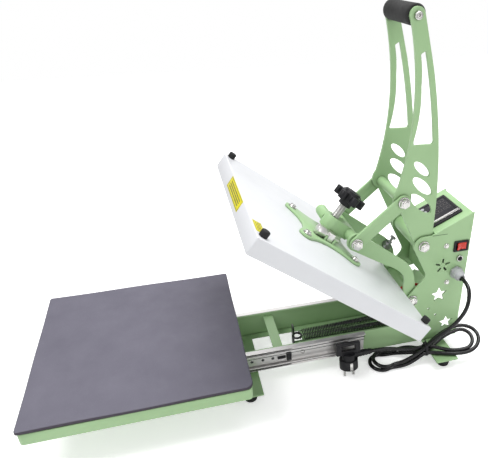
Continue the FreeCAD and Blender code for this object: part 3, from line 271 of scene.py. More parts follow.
def silicone():
    """Purple-grey silicone rubber: a dusty matt skin on top; its upright sides painted darker as shade."""
    s = Shader("silicone_rubber")
    cloud = s.ramp(s.noise(14, 5, 0.6), 0.3, 0.7, 0, 1)
    base = s.mix(cloud, (0.118, 0.113, 0.147), (0.140, 0.134, 0.171))
    dust = s.ramp(s.noise(420, 3), 0.62, 0.75, 0, 0.35)
    top = s.mix(dust, base, (0.22, 0.21, 0.26))
    # Faces that turn away from straight up get a near-black colour: painted shade on the mat's sides.
    parts = s.node("ShaderNodeSeparateXYZ")
    s.link(s.node("ShaderNodeNewGeometry").outputs["Normal"], parts.inputs["Vector"])
    s.colour(s.mix(s.ramp(parts.outputs["Z"], 0.35, 0.85, 0, 1), (0.045, 0.036, 0.052), top))
    s.rough(s.ramp(s.noise(40, 4), 0.3, 0.7, 0.55, 0.68))
    s.set(Specular_IOR_Level=0.42)
    normal = s.softened(0.0015)
    s.bump(s.noise(1400, 2), 0.00012, 0.5, normal)
    return s.material


def black_plastic():
    """Moulded black plastic with a fine spark-eroded grain."""
    s = Shader("black_moulded_plastic")
    s.colour(s.mix(s.ramp(s.noise(30, 3), 0.3, 0.7, 0, 1), (0.008, 0.008, 0.010), (0.014, 0.014, 0.016)))
    s.set(Specular_IOR_Level=0.30)
    normal = s.softened(0.0008)
    s.rough(s.ramp(s.noise(80, 3), 0.3, 0.7, 0.34, 0.46))
    s.bump(s.noise(2200, 2), 0.00006, 0.5, normal)
    return s.material


def black_rubber():
    s = Shader("black_rubber")
    s.colour(s.mix(s.ramp(s.noise(50, 4), 0.3, 0.7, 0, 1), (0.009, 0.009, 0.009), (0.017, 0.017, 0.018)))
    s.set(Specular_IOR_Level=0.30)
    normal = s.softened(0.001)
    s.rough(s.ramp(s.noise(70, 3), 0.3, 0.7, 0.55, 0.72))
    s.bump(s.noise(1500, 3), 0.0001, 0.6, normal)
    return s.material


def foam():
    """Closed-cell foam: matt, with small pores."""
    s = Shader("black_foam")
    cells = s.node("ShaderNodeTexVoronoi")
    cells.inputs["Scale"].default_value = 900
    s.link(s.place, cells.inputs["Vector"])
    s.colour(s.mix(s.ramp(s.noise(40, 3), 0.3, 0.7, 0, 1), (0.014, 0.014, 0.014), (0.03, 0.03, 0.03)))
    s.rough(s.ramp(s.noise(70, 3), 0.3, 0.7, 0.8, 0.95))
    s.bump(cells.outputs["Distance"], 0.0003, 0.8)
    return s.material


def metal(name, base, low, high, stretch, brush_depth, contrast=0.18):
    """Bright metal with directional brushing and uneven gloss, and painted shade in its recesses."""
    s = Shader(name)
    streak = s.noise(260, 3, 0.6, stretch)
    dark = tuple(c * (1 - contrast) for c in base)
    # A near-black copy of the base colour, painted into recesses as shade.
    painted_shade = tuple(c * 0.12 for c in base)
    s.colour(s.painted_crevice_shade(s.mix(s.ramp(streak, 0.3, 0.7, 0, 1), base, dark), painted_shade, 0.003))
    normal = s.softened(0.0006)
    s.rough(s.ramp(s.noise(45, 4), 0.3, 0.7, low, high))
    s.set(Metallic=1.0)
    s.bump(streak, brush_depth, 0.5, normal)
    return s.material


def chrome_steel():
    return metal("nickel_plated_steel", (0.72, 0.71, 0.69), 0.14, 0.26, (1, 1, 1), 0.00002)


def zinc_steel():
    return metal("zinc_plated_steel", (0.80, 0.785, 0.775), 0.30, 0.36, (1, 0.01, 1), 0.00001, 0.10)


def dull_steel():
    return metal("turned_bare_steel", (0.36, 0.36, 0.37), 0.26, 0.40, (1, 1, 1), 0.00003)


def spring_steel():
    return metal("black_oxide_steel", (0.11, 0.11, 0.115), 0.22, 0.34, (1, 1, 1), 0.00003)


def cast_aluminium():
    return metal("machined_aluminium", (0.70, 0.71, 0.72), 0.3, 0.45, (1, 0.03, 1), 0.00006)


def grey_nylon():
    s = Shader("grey_nylon")
    s.colour(s.mix(s.ramp(s.noise(50, 3), 0.3, 0.7, 0, 1), (0.36, 0.37, 0.385), (0.42, 0.43, 0.445)))
    normal = s.softened(0.0008)
    s.rough(s.ramp(s.noise(80, 3), 0.3, 0.7, 0.4, 0.52))
    s.bump(s.noise(1500, 2), 0.00005, 0.5, normal)
    return s.material


def red_plastic():
    s = Shader("red_rocker_plastic")
    s.colour(s.mix(s.ramp(s.noise(60, 3), 0.3, 0.7, 0, 1), (0.62, 0.030, 0.012), (0.52, 0.022, 0.010)))
    normal = s.softened(0.0007)
    s.rough(s.ramp(s.noise(80, 3), 0.3, 0.7, 0.22, 0.32))
    s.bump(s.noise(900, 2), 0.00003, 0.4, normal)
    return s.material


def dark_glass():
    s = Shader("dark_display_glass")
    s.colour(s.mix(s.ramp(s.noise(20, 3), 0.3, 0.7, 0, 1), (0.006, 0.006, 0.010), (0.011, 0.011, 0.016)))
    s.rough(s.ramp(s.noise(60, 3), 0.3, 0.7, 0.06, 0.12))
    s.set(Specular_IOR_Level=0.22)
    return s.material


def circuit_board():
    s = Shader("circuit_board")
    grid = s.node("ShaderNodeTexBrick")
    grid.inputs["Scale"].default_value = 160
    s.link(s.place, grid.inputs["Vector"])
    s.colour(s.mix(grid.outputs["Fac"], (0.02, 0.14, 0.05), (0.04, 0.22, 0.08)))
    s.rough(s.ramp(s.noise(80, 3), 0.3, 0.7, 0.35, 0.5))
    return s.material


def relay_plastic():
    s = Shader("relay_plastic")
    s.colour(s.mix(s.ramp(s.noise(50, 3), 0.3, 0.7, 0, 1), (0.72, 0.71, 0.66), (0.66, 0.65, 0.60)))
    normal = s.softened(0.001)
    s.rough(s.ramp(s.noise(80, 3), 0.3, 0.7, 0.4, 0.5))
    s.bump(s.noise(1200, 2), 0.00004, 0.4, normal)
    return s.material


def heat_lead():
    s = Shader("red_silicone_lead")
    s.colour(s.mix(s.ramp(s.noise(90, 3), 0.3, 0.7, 0, 1), (0.52, 0.03, 0.015), (0.42, 0.02, 0.012)))
    s.rough(s.ramp(s.noise(120, 3), 0.3, 0.7, 0.45, 0.6))
    s.bump(s.noise(1600, 2), 0.00005, 0.5)
    return s.material


def glass_wool():
    s = Shader("glass_wool")
    fibre = s.noise(500, 5, 0.7, (1, 0.15, 1))
    s.colour(s.mix(s.ramp(fibre, 0.3, 0.7, 0, 1), (0.70, 0.64, 0.42), (0.84, 0.80, 0.62)))
    s.rough(s.ramp(fibre, 0.3, 0.7, 0.85, 1.0))
    s.bump(fibre, 0.0006, 0.8)
    return s.material


def cord_jacket():
    """Glossy PVC jacket of the lead."""
    s = Shader("pvc_cord_jacket")
    s.colour(s.mix(s.ramp(s.noise(60, 3), 0.3, 0.7, 0, 1), (0.007, 0.007, 0.008), (0.012, 0.012, 0.013)))
    s.rough(s.ramp(s.noise(90, 3), 0.3, 0.7, 0.18, 0.26))
    s.set(Specular_IOR_Level=0.32)
    s.bump(s.noise(700, 2), 0.00004, 0.4)
    return s.material


def yellow_label():
    """Plain yellow vinyl with a slightly worn print."""
    s = Shader("yellow_vinyl")
    s.colour(s.mix(s.ramp(s.noise(220, 3), 0.45, 0.6, 0, 1), (0.72, 0.66, 0.014), (0.62, 0.56, 0.012)))
    s.rough(s.ramp(s.noise(60, 3), 0.3, 0.7, 0.4, 0.5))
    s.set(Specular_IOR_Level=0.3)
    return s.material


def label_print():
    s = Shader("label_print")
    s.colour(s.mix(s.ramp(s.noise(180, 3), 0.4, 0.6, 0, 1), (0.10, 0.09, 0.02), (0.20, 0.17, 0.03)))
    s.rough(s.ramp(s.noise(60, 3), 0.3, 0.7, 0.4, 0.5))
    return s.material


def unlit_segment():
    s = Shader("unlit_segment")
    s.colour(s.mix(s.ramp(s.noise(60, 3), 0.3, 0.7, 0, 1), (0.055, 0.05, 0.05), (0.07, 0.06, 0.06)))
    s.rough(s.ramp(s.noise(60, 3), 0.3, 0.7, 0.2, 0.3))
    return s.material


def seam():
    s = Shader("shadow_gap")
    s.colour(s.mix(s.ramp(s.noise(60, 3), 0.3, 0.7, 0, 1), (0.05, 0.08, 0.045), (0.07, 0.11, 0.06)))
    s.set(Roughness=0.8)
    return s.material


MAKERS = {
    "mint_paint": mint_paint,
    "black_plastic": black_plastic,
    "dark_glass": dark_glass,
    "circuit_board": circuit_board,
    "relay_plastic": relay_plastic,
    "red_plastic": red_plastic,
    "grey_nylon": grey_nylon,
    "chrome_steel": chrome_steel,
    "zinc_steel": zinc_steel,
    "black_rubber": black_rubber,
    "spring_steel": spring_steel,
    "heat_lead": heat_lead,
    "white_paint": white_paint,
    "cast_aluminium": cast_aluminium,
    "glass_wool": glass_wool,
    "silicone": silicone,
}
LOOKS = {name: make() for name, make in MAKERS.items()}
for extra in (foam, cord_jacket, yellow_label, label_print, unlit_segment, seam, dull_steel):
    LOOKS[extra.__name__] = extra()


def dress_nodes():
    """Give every CAD node the look of its material slot."""
    for entry in frame["record"]["subparts"]:
        node = NODES[entry["node"]]
        node.data.materials.clear()
        node.data.materials.append(LOOKS[entry["material_slot"]])


FLOOR_GLOW = 0.47


def pale_floor():
    """A seamless pale floor."""
    s = Shader("pale_floor")
    s.colour(s.mix(s.ramp(s.noise(2, 2), 0.3, 0.7, 0, 1), (0.93, 0.93, 0.93), (0.95, 0.95, 0.95)))
    s.set(Roughness=0.8, Specular_IOR_Level=0.2, Emission_Color=(1, 1, 1, 1))
    seen = s.node("ShaderNodeLightPath").outputs["Is Camera Ray"]
    s.link(s.ramp(seen, 0, 1, 0.0, FLOOR_GLOW), s.bsdf.inputs["Emission Strength"])
    return s.material


def make_floor():
    reach = 3.2
    mesh = bpy.data.meshes.new("floor")
    corners = [(-reach, -reach, 0), (reach, -reach, 0), (reach, reach, 0), (-reach, reach, 0)]
    mesh.from_pydata(corners, [], [(0, 1, 2, 3)])
    floor = bpy.data.objects.new("floor", mesh)
    bpy.context.scene.collection.objects.link(floor)
    mesh.materials.append(pale_floor())


# ---------------------------------------------------------------- mesh helpers


def add(name, mesh, slot, look=None):
    """A new piece in the scene, dressed and named by its material slot."""
    obj = bpy.data.objects.new(name, mesh)
    bpy.context.scene.collection.objects.link(obj)
    mesh.materials.clear()
    mesh.materials.append(LOOKS[look or slot])
    return obj


def add_riding(name, mesh, body, slot, look=None):
    obj = add(name, mesh, slot, look)
    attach(obj, body)
    return obj


def finish_mesh(name, bm, smooth_angle=35):
    bmesh.ops.recalc_face_normals(bm, faces=bm.faces)
    mesh = bpy.data.meshes.new(name)
    bm.to_mesh(mesh)
    bm.free()
    mesh.shade_smooth()
    mesh.set_sharp_from_angle(angle=math.radians(smooth_angle))
    return mesh


def skin_rings(bm, rings, closed=True):
    """Join rings of equal count with quads, and close both ends."""
    for first, second in zip(rings, rings[1:]):
        count = len(first)
        for index in range(count):
            after = (index + 1) % count
            bm.faces.new((first[index], first[after], second[after], second[index]))
    if closed:
        bm.faces.new(rings[0][::-1])
        bm.faces.new(rings[-1])


def tube_mesh(name, path, radius, sides):
    """A round tube along a list of points."""
    bm = bmesh.new()
    rings = []
    spots = [Vector(p) for p in path]
    across = (spots[1] - spots[0]).orthogonal().normalized()
    for index, spot in enumerate(spots):
        before, after = spots[max(index - 1, 0)], spots[min(index + 1, len(spots) - 1)]
        along = (after - before).normalized()
        across = (across - along * across.dot(along)).normalized()
        side = along.cross(across)
        ring = []
        for step in range(sides):
            angle = 2 * math.pi * step / sides
            ring.append(bm.verts.new(spot + (across * math.cos(angle) + side * math.sin(angle)) * radius))
        rings.append(ring)
    skin_rings(bm, rings)
    return finish_mesh(name, bm)


def turned_mesh(name, profile, place, sides=48, closed=True, flute=None):
    """A body of revolution about the Z axis of a placement, from (height, radius) pairs."""
    bm = bmesh.new()
    rings = []
    for height, radius in profile:
        ring = []
        for step in range(sides):
            angle = 2 * math.pi * step / sides
            reach = radius if flute is None else radius * flute(angle, height)
            spot = place @ Vector((reach * math.cos(angle), reach * math.sin(angle), height))
            ring.append(bm.verts.new(spot))
        rings.append(ring)
    if closed:
        skin_rings(bm, rings)
    else:
        skin_rings(bm, rings + rings[:1], False)
    return finish_mesh(name, bm)


def block_mesh(name, low, high, place=Matrix.Identity(4), soft=0.0):
    """A block between two corners, its edges rounded."""
    bm = bmesh.new()
    bmesh.ops.create_cube(bm, size=1.0)
    for vert in bm.verts:
        share = vert.co + Vector((0.5, 0.5, 0.5))
        vert.co = place @ Vector(tuple(low[i] + (high[i] - low[i]) * share[i] for i in range(3)))
    if soft:
        bmesh.ops.bevel(bm, geom=bm.edges[:], offset=soft, segments=3, profile=0.5, affect="EDGES")
    return finish_mesh(name, bm)


def rounded_copy(node, width, body, slot, look=None, name=None, sharp=30):
    """The node's own shape with its sharp edges really rounded; it stands for the node."""
    bm = bmesh.new()
    bm.from_mesh(NODES[node].data)
    bmesh.ops.remove_doubles(bm, verts=bm.verts, dist=2e-6)
    bmesh.ops.dissolve_limit(bm, angle_limit=math.radians(0.5), verts=bm.verts, edges=bm.edges)
    edges = []
    for edge in bm.edges:
        if len(edge.link_faces) == 2 and edge.calc_face_angle(0) > math.radians(sharp):
            edges.append(edge)
    bmesh.ops.bevel(bm, geom=edges, offset=width, segments=2, profile=0.5, affect="EDGES", clamp_overlap=True)
    bmesh.ops.dissolve_degenerate(bm, edges=bm.edges, dist=1e-7)
    bmesh.ops.triangulate(bm, faces=[f for f in bm.faces if len(f.verts) > 4])
    mesh = finish_mesh(name or node + "_rounded", bm)
    obj = add_riding(name or node + "_rounded", mesh, body, slot, look)
    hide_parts(node)
    return obj


def mm(*values):
    return tuple(v * MM for v in values)


def in_mm(pairs):
    """(height, radius) pairs given in millimetres, in metres."""
    return [mm(*pair) for pair in pairs]


PLATEN_ANGLE = math.radians(37.4)
PLATEN_ORIGIN = mm(0, -41.1, 373.0)
TILT = Matrix.Translation(PLATEN_ORIGIN) @ Matrix.Rotation(-PLATEN_ANGLE, 4, "X")
ALONG_X = Matrix.Rotation(math.radians(90), 4, "Y")


# ---------------------------------------------------------------- mains lead

CORD_DIAMETER = 8 * MM
GLAND_EXIT = (86, 401, 188)
FALL = [(109, 401, 188), (127, 397, 174), (134, 391, 149), (130, 382, 123), (121, 369, 95), (111, 350, 69),
        (101, 338, 46)]
TIE_Y = 331
TIE_REACH = 7
STRANDS = {"first": (101.5, 38.8), "second": (88.6, 26.8), "third": (105.7, 26.6), "fourth": (97.2, 26.6),
           "fifth": (93.0, 33.7)}
FRONT_RADIUS = 24.5
LOOP_FLOOR, LEAN_ACROSS, LEAN_ALONG = 27.8, 0.404, 0.137
PLUG_LEAN = math.radians(-12)
PLUG_PLACE = Matrix.Translation(mm(94.2, 163.5, 19.4)) @ Matrix.Rotation(PLUG_LEAN, 4, "Y")
RELIEF_HEIGHT, RELIEF_END = 27 * MM, 50 * MM


def through_tie(strand, forward):
    """Two points that carry a strand level through the tie, in the way that it runs."""
    x, z = STRANDS[strand]
    way = -1 if forward else 1
    return [(x, TIE_Y - way * TIE_REACH, z), (x, TIE_Y + way * TIE_REACH, z)]


def front_turn(centre, radius, height):
    """Round the front end of the hank, from its right side to its left side."""
    points = []
    for degrees in (35, 5, -25, -55, -90, -125, -155, -185, -215):
        angle = math.radians(degrees)
        points.append((centre[0] + radius * math.cos(angle), centre[1] + radius * math.sin(angle), height))
    return points


def leaning(x, y):
    """A point of the rear loops, which lean up against the side plate and lie on the foot plate."""
    return (x, y, max(LOOP_FLOOR, 28 - LEAN_ACROSS * (x - 97) + LEAN_ALONG * (y - TIE_Y)))


def rear_turn(centre, half_width, half_length):
    """Round the rear end of the hank, from its left side to its right side."""
    points = []
    for degrees in (180, 150, 120, 90, 60, 30, 0):
        angle = math.radians(degrees)
        x = centre[0] + half_width * math.cos(angle)
        y = centre[1] + half_length * math.sin(angle)
        points.append(leaning(x, y))
    return points


def cord_points():
    """From the gland down to the hank, through its four loops and on to the plug."""
    floor = 4.3
    above = floor + 8.4
    points = [GLAND_EXIT] + FALL
    points += [(102.5, 321, 32.0), (105.5, 301, 24), (107, 281, 16.5)]
    points += front_turn((85, 246), FRONT_RADIUS, above)
    points += [(67, 281, 16.8), (72.5, 302, 23.2)]
    points += through_tie("second", False)
    points += [leaning(82, 355), leaning(72, 384)]
    points += rear_turn((97.5, 414), 30.5, 40)
    points += [leaning(125, 387), leaning(116, 362)]
    points += through_tie("third", True)
    points += [(108, 303, 14.5), (109, 281, 7.0)]
    points += front_turn((84, 239), FRONT_RADIUS, floor)
    points += [(66.5, 276, 6.5), (79, 299, 12.5), (88.5, 312, 18.5)]
    points += through_tie("fourth", False)
    points += [(91.5, 353, 31), leaning(81, 380)]
    points += rear_turn((98, 415), 21.8, 24)
    points += [leaning(116, 388), (106, 358, 34)]
    points += [(98.5, 345, 37), (93.5, TIE_Y + TIE_REACH, 34.5), (93, TIE_Y - TIE_REACH, 33.4)]
    points += [(95, 301, 34.8), (93.5, 279, 38.5), (90.5, 256, 43), (88.8, 234, 45.5)]
    end = PLUG_PLACE @ Vector((0, RELIEF_END, RELIEF_HEIGHT))
    return [Vector(mm(*p)) for p in points] + [end]


def mains_lead():
    curve = bpy.data.curves.new("mains_lead", "CURVE")
    curve.dimensions = "3D"
    curve.bevel_depth = CORD_DIAMETER / 2
    curve.bevel_resolution = 5
    curve.resolution_u = 8
    curve.use_fill_caps = True
    spline = curve.splines.new("NURBS")
    points = cord_points()
    spline.points.add(len(points) - 1)
    for target, point in zip(spline.points, points):
        target.co = (*point, 1)
    spline.order_u = 3
    spline.use_endpoint_u = True
    curve.materials.append(LOOKS["cord_jacket"])
    lead = bpy.data.objects.new("mains_lead", curve)
    bpy.context.scene.collection.objects.link(lead)
    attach(lead, "base")
    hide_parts("cord_tube", "cord_hank", "cord_tail")
    return lead


def hull(points):
    """The convex outline of points in a plane, anticlockwise."""
    points = sorted(points)

    def half(spots):
        kept = []
        for spot in spots:
            while len(kept) > 1:
                (ax, ay), (bx, by) = kept[-2], kept[-1]
                if (bx - ax) * (spot[1] - ay) - (by - ay) * (spot[0] - ax) > 0:
                    break
                kept.pop()
            kept.append(spot)
        return kept[:-1]

    return half(points) + half(points[::-1])


def hank_tie():
    """A nylon tie pulled round the five strands, with its lock and cut tail."""
    bm = bmesh.new()
    inner, outer, width = 4.5, 5.7, 2.4
    spots = []
    for x, z in STRANDS.values():
        for step in range(32):
            angle = 2 * math.pi * step / 32
            spots.append((x + inner * math.cos(angle), z + inner * math.sin(angle)))
    outline = hull(spots)
    middle = (sum(p[0] for p in outline) / len(outline), sum(p[1] for p in outline) / len(outline))
    ring = []
    for x, z in outline:
        away = Vector((x - middle[0], z - middle[1])).normalized() * (outer - inner)
        section = []
        for share, side in ((0, -width), (1, -width), (1, width), (0, width)):
            section.append(bm.verts.new(mm(x + away.x * share, TIE_Y + side, z + away.y * share)))
        ring.append(section)
    skin_rings(bm, ring + ring[:1], False)
    band = add_riding("hank_tie_band", finish_mesh("hank_tie_band", bm), "base", "black_plastic")
    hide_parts("cable_tie")
    lock = block_mesh("hank_tie_lock", mm(93, TIE_Y - 4, 41.6), mm(99, TIE_Y + 4, 47.0), soft=0.7 * MM)
    lock = add_riding("hank_tie_lock", lock, "base", "black_plastic")
    tail_path = [mm(96, TIE_Y, 46), mm(95, TIE_Y, 50), mm(92.5, TIE_Y, 53)]
    tail = tube_mesh("hank_tie_tail", tail_path, 1.1 * MM, 8)
    tail = add_riding("hank_tie_tail", tail, "base", "black_plastic")
    return [band, lock, tail]


def plug():
    """The plug's moulded body, its plated contacts and the ribs of its strain relief."""
    body = rounded_copy("plug_body", 1.1 * MM, "base", "black_plastic", name="plug_shell")
    contacts = rounded_copy("plug_contacts", 0.5 * MM, "base", "chrome_steel", name="plug_pins_plated")
    pieces = [body, contacts]
    along_y = Matrix.Rotation(math.radians(-90), 4, "X")
    for index in range(5):
        y = 19 + index * 6.5
        place = PLUG_PLACE @ Matrix.Translation((0, y * MM, RELIEF_HEIGHT)) @ along_y
        cone = 7.5 - 2.3 * (y - 12) / 38
        profile = [(-1.4, cone - 0.6), (-0.9, cone + 0.7), (0.9, cone + 0.7), (1.4, cone - 0.6)]
        name = "plug_relief_rib_%d" % (index + 1)
        rib = turned_mesh(name, in_mm(profile), place, 32)
        pieces.append(add_riding(name, rib, "base", "black_plastic"))
    return pieces


def cable_gland():
    """Nylon gland: hexagon, fluted dome nut and a tapered mouth that holds the lead."""
    start, y, z = 60 * MM, 401 * MM, 188 * MM
    place = Matrix.Translation((start, y, z)) @ ALONG_X
    base = rounded_copy("cable_gland", 0.5 * MM, "base", "grey_nylon", name="cable_gland_body")
    profile = in_mm([(7, 10.9), (7.6, 11.6), (14, 11.4), (17, 10.4),
                     (21, 8.6), (25.5, 6.9), (26, 6.3), (26, 4.1)])

    def flute(angle, height):
        share = max(0.0, 1 - abs(height / MM - 11) / 6)
        return 1 + 0.035 * share * math.cos(12 * angle)

    dome = add_riding("cable_gland_dome", turned_mesh("cable_gland_dome", profile, place, 96, flute=flute),
                      "base", "grey_nylon")
    return [base, dome]


def lay_cord():
    lead = mains_lead()
    pieces = hank_tie() + plug() + cable_gland()


# ---------------------------------------------------------------- springs and the heater's lead


def spring_path(side):
    """A closely wound spring with a hook at each end, from the ring to the lever's pin."""
    begin, end = Vector(mm(side * 8.3, 90, 46)), Vector(mm(side * 13, 288, 48))
    along = (end - begin).normalized()
    across = along.cross(Vector((0, 0, 1))).normalized()
    up = across.cross(along)
    radius, turns, steps = 6.2 * MM, 54, 14
    length = (end - begin).length
    hook = 9 * MM
    path = [begin - along * 6 * MM - up * 4 * MM, begin - along * 9 * MM]
    path.append(begin - along * 6 * MM + up * 4 * MM)
    path.append(begin + along * 1 * MM + up * 5 * MM)
    count = turns * steps
    for index in range(count + 1):
        angle = math.pi / 2 + 2 * math.pi * index / steps
        share = index / count
        centre = begin + along * (2 * MM + share * (length - 4 * MM))
        path.append(centre + (across * math.cos(angle) + up * math.sin(angle)) * radius)
    tip = Vector(mm(side * 13, 300.9, 48.3))
    path.append(end + up * 4.5 * MM + along * 2 * MM)
    path.append(tip + up * 5 * MM)
    path.append(tip + along * 5 * MM)
    path.append(tip - up * 5 * MM - along * 1 * MM)
    path.append(tip - up * 4 * MM - along * hook * 0.6)
    return path


def return_springs():
    """Each spring stretches between the base's ring and the arm's lever."""
    for side, name in ((1, "return_spring_right"), (-1, "return_spring_left")):
        mesh = tube_mesh(name, spring_path(side), 0.95 * MM, 8)
        spring = add(name, mesh, "spring_steel")
        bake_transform(spring)
    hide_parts("return_springs")


def smooth_route(name, points, order=3, steps=12):
    """Points along a NURBS line through a route."""
    curve = bpy.data.curves.new(name, "CURVE")
    curve.dimensions = "3D"
    curve.resolution_u = steps
    spline = curve.splines.new("NURBS")
    spline.points.add(len(points) - 1)
    for target, point in zip(spline.points, points):
        target.co = (*mm(*point), 1)
    spline.order_u = order
    spline.use_endpoint_u = True
    holder = bpy.data.objects.new(name, curve)
    mesh = bpy.data.meshes.new_from_object(holder)
    path = [vert.co.copy() for vert in mesh.vertices]
    bpy.data.objects.remove(holder)
    bpy.data.meshes.remove(mesh)
    bpy.data.curves.remove(curve)
    return path


def heater_lead():
    """Silicone lead along a smooth route, made as one fixed tube."""
    route = [(38, 360, 163), (38, 357, 152), (38, 342, 149), (38, 323, 158), (38, 304, 161),
             (38, 288.7, 148.5), (38, 277.6, 157.0)]
    mesh = tube_mesh("heater_lead", smooth_route("heater_route", route), 3 * MM, 14)
    lead = add("heater_lead", mesh, "heat_lead")
    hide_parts("heater_cable")
    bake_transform(lead)


# ---------------------------------------------------------------- drawer


def rounded_rectangle(half, inset, radii, per_corner=10, per_side=24):
    """Points round a rectangle whose corners have radii of their own, right rear first."""
    signs = ((1, 1), (-1, 1), (-1, -1), (1, -1))
    points = []
    corners = []
    for (sx, sy), radius in zip(signs, radii):
        size = max(radius - inset, 0.4 * MM)
        reach = half - inset - size
        first = math.atan2(sy, sx) - math.pi / 4
        arc = []
        for step in range(per_corner + 1):
            angle = first + math.pi / 2 * step / per_corner
            arc.append(Vector((sx * reach + size * math.cos(angle), sy * reach + size * math.sin(angle))))
        corners.append(arc)
    for index, arc in enumerate(corners):
        following = corners[(index + 1) % 4][0]
        points += arc
        for step in range(1, per_side):
            points.append(arc[-1].lerp(following, step / per_side))
    return points


def silicone_pad():
    """Loose silicone mat: rounded edges, uneven rim and a barely crowned top."""
    low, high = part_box("silicone_pad")
    half = (high[0] - low[0]) / 2
    middle = ((high[0] + low[0]) / 2, (high[1] + low[1]) / 2)
    thick = high[2] - low[2]
    radii = (15 * MM, 5 * MM, 5 * MM, 6 * MM)
    side = [(3.4, 0.1), (2.2, 1.4), (0.3, 2.2), (0.0, 3.0), (0.1, 6.0), (0.5, 7.2), (1.3, 7.75)]
    top = [(3, 7.85), (8, 7.8), (20, 7.7), (50, 7.75), (90, 7.8), (130, 7.85), (165, 7.85)]
    bm = bmesh.new()
    rings = []
    for inset, height in side + top:
        ring = []
        swell = 0.12 * MM if height > 7 else 0
        for point in rounded_rectangle(half, inset * MM, radii):
            fade = max(0.0, 1 - inset / 12)
            wobble = (math.sin(point.x * 31 + 1.3) * math.cos(point.y * 27) - 0.7) * 0.9 * MM * fade
            away = Vector((point.x, point.y)).normalized() * wobble
            wave = math.sin(point.x * 23 + 0.4) * math.sin(point.y * 19 + 1.1) * swell
            ring.append(bm.verts.new((middle[0] + point.x + away.x, middle[1] + point.y + away.y,
                                      low[2] + height / 8 * thick + wave)))
        rings.append(ring)
    skin_rings(bm, rings)
    pad = add_riding("silicone_mat", finish_mesh("silicone_mat", bm, 60), "drawer", "silicone")
    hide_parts("silicone_pad")


def ball_mesh(name, places, radius):
    bm = bmesh.new()
    for place in places:
        spot = Matrix.Translation(place)
        bmesh.ops.create_uvsphere(bm, u_segments=12, v_segments=8, radius=radius, matrix=spot)
    return finish_mesh(name, bm, 80)


SLIDE_HEIGHT = 54


def edge_strip(name, side, depths, ends, heights, slot, soft=0.0):
    """A strip along the outer slide member, in the plane of its open side, in millimetres."""
    start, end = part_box("slide_outer")
    mouth = end[0] / MM
    near, far = sorted((side * (mouth - depths[0]), side * (mouth + depths[1])))
    low = (near * MM, start[1] + ends * MM, heights[0] * MM)
    high = (far * MM, end[1] - ends * MM, heights[1] * MM)
    add_riding(name, block_mesh(name, low, high, soft=soft), "base", slot)


def slide_strips(side, word):
    """Ribs along the open side of the outer member, and painted shadow lines in the gaps beside them."""
    for name, heights in (("upper", (67.9, 70.0)), ("lower", (38.0, 40.1))):
        edge_strip("slide_rib_%s_%s" % (name, word), side, (0.6, 0.7), 4, heights, "zinc_steel", 0.6 * MM)
    # Thin strips of black steel paint the shadow lines in the gaps between the slide's members.
    for name, heights in (("upper", (70.2, 71.6)), ("middle", (63.4, 64.4)), ("lower", (36.4, 37.6))):
        edge_strip("slide_gap_%s_%s" % (name, word), side, (0.4, 0.1), 2, heights, "spring_steel")


def slide_balls(side, word):
    balls = []
    for index in range(14):
        for z in (34.2, 73.8):
            balls.append(mm(side * 67.6, -40 + index * 6.2, z))
    name = "slide_balls_" + word
    add_riding(name, ball_mesh(name, balls, 0.95 * MM), "slide_middle", "chrome_steel")


def slide_stops(side, word):
    """Moulded stop and catch on the middle member."""
    stop = block_mesh("stop", mm(side * 66.1, 40, 45), mm(side * 70.4, 50, 63), soft=0.8 * MM)
    add_riding("slide_stop_" + word, stop, "slide_middle", "black_plastic")
    catch = block_mesh("catch", mm(side * 66.2, 22, 50), mm(side * 68.0, 38, 56), soft=0.6 * MM)
    add_riding("slide_catch_" + word, catch, "slide_middle", "black_plastic")


def slide_fixings(side, word):
    """Rivets on the middle member, and screws that hold the outer one to the base."""
    outward = Matrix.Rotation(math.radians(90 * side), 4, "Y")
    rivet = in_mm([(0, 3.0), (0.5, 3.0), (0.9, 2.2)])
    screw = in_mm([(0, 4.2), (0.8, 4.1), (1.8, 3.0), (2.2, 1.2)])
    kinds = (("rivet", rivet, 66.0, (-30, -8, 12), 20, "slide_middle", "spring_steel"),
             ("screw", screw, 61.2, (75, 150, 195), 24, "base", "chrome_steel"))
    for kind, profile, x, places, sides, body, slot in kinds:
        for number, y in enumerate(places):
            name = "slide_%s_%s_%d" % (kind, word, number + 1)
            place = Matrix.Translation(mm(side * x, y, SLIDE_HEIGHT)) @ outward
            add_riding(name, turned_mesh(name, profile, place, sides), body, slot)


def slide_details():
    """What the telescopic slides' members carry on each side."""
    for side, word in ((1, "right"), (-1, "left")):
        slide_strips(side, word)
        slide_balls(side, word)
        slide_stops(side, word)
        slide_fixings(side, word)


# ---------------------------------------------------------------- handle and pressure screw


def foam_grip():
    """Foam sleeve with soft ends and a faint squeeze in the middle."""
    y, z = 269.5 * MM, 675 * MM
    half = 49.3
    place = Matrix.Translation((0, y, z)) @ ALONG_X
    outside = [(-half, 14.0), (-half + 0.8, 16.0), (-half + 2.4, 16.9)]
    for step in range(1, 16):
        share = step / 16
        outside.append((-half + 2.4 + (2 * half - 4.8) * share, 16.9 - 0.35 * math.sin(math.pi * share)))
    outside += [(half - 2.4, 16.9), (half - 0.8, 16.0), (half, 14.0)]
    profile = outside + [(half, 11.1), (-half, 11.1)]
    mesh = turned_mesh("foam_sleeve", in_mm(profile), place, 64, closed=False)
    sleeve = add_riding("foam_sleeve", mesh, "handle", "black_rubber", "foam")
    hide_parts("foam_grip")


def thread_mesh(name, start, end, radius, pitch, depth, place):
    """A rod with a helical thread cut in it."""
    sides, per_pitch = 32, 6
    bm = bmesh.new()
    rings = []
    rows = int((end - start) / pitch * per_pitch)
    for row in range(rows + 1):
        height = start + (end - start) * row / rows
        ring = []
        for step in range(sides):
            angle = 2 * math.pi * step / sides
            phase = (height / pitch - step / sides) % 1.0
            size = radius - depth * abs(2 * phase - 1)
            if row in (0, rows):
                size = radius - depth
            spot = place @ Vector((size * math.cos(angle), size * math.sin(angle), height))
            ring.append(bm.verts.new(spot))
        rings.append(ring)
    skin_rings(bm, rings)
    return finish_mesh(name, bm, 50)


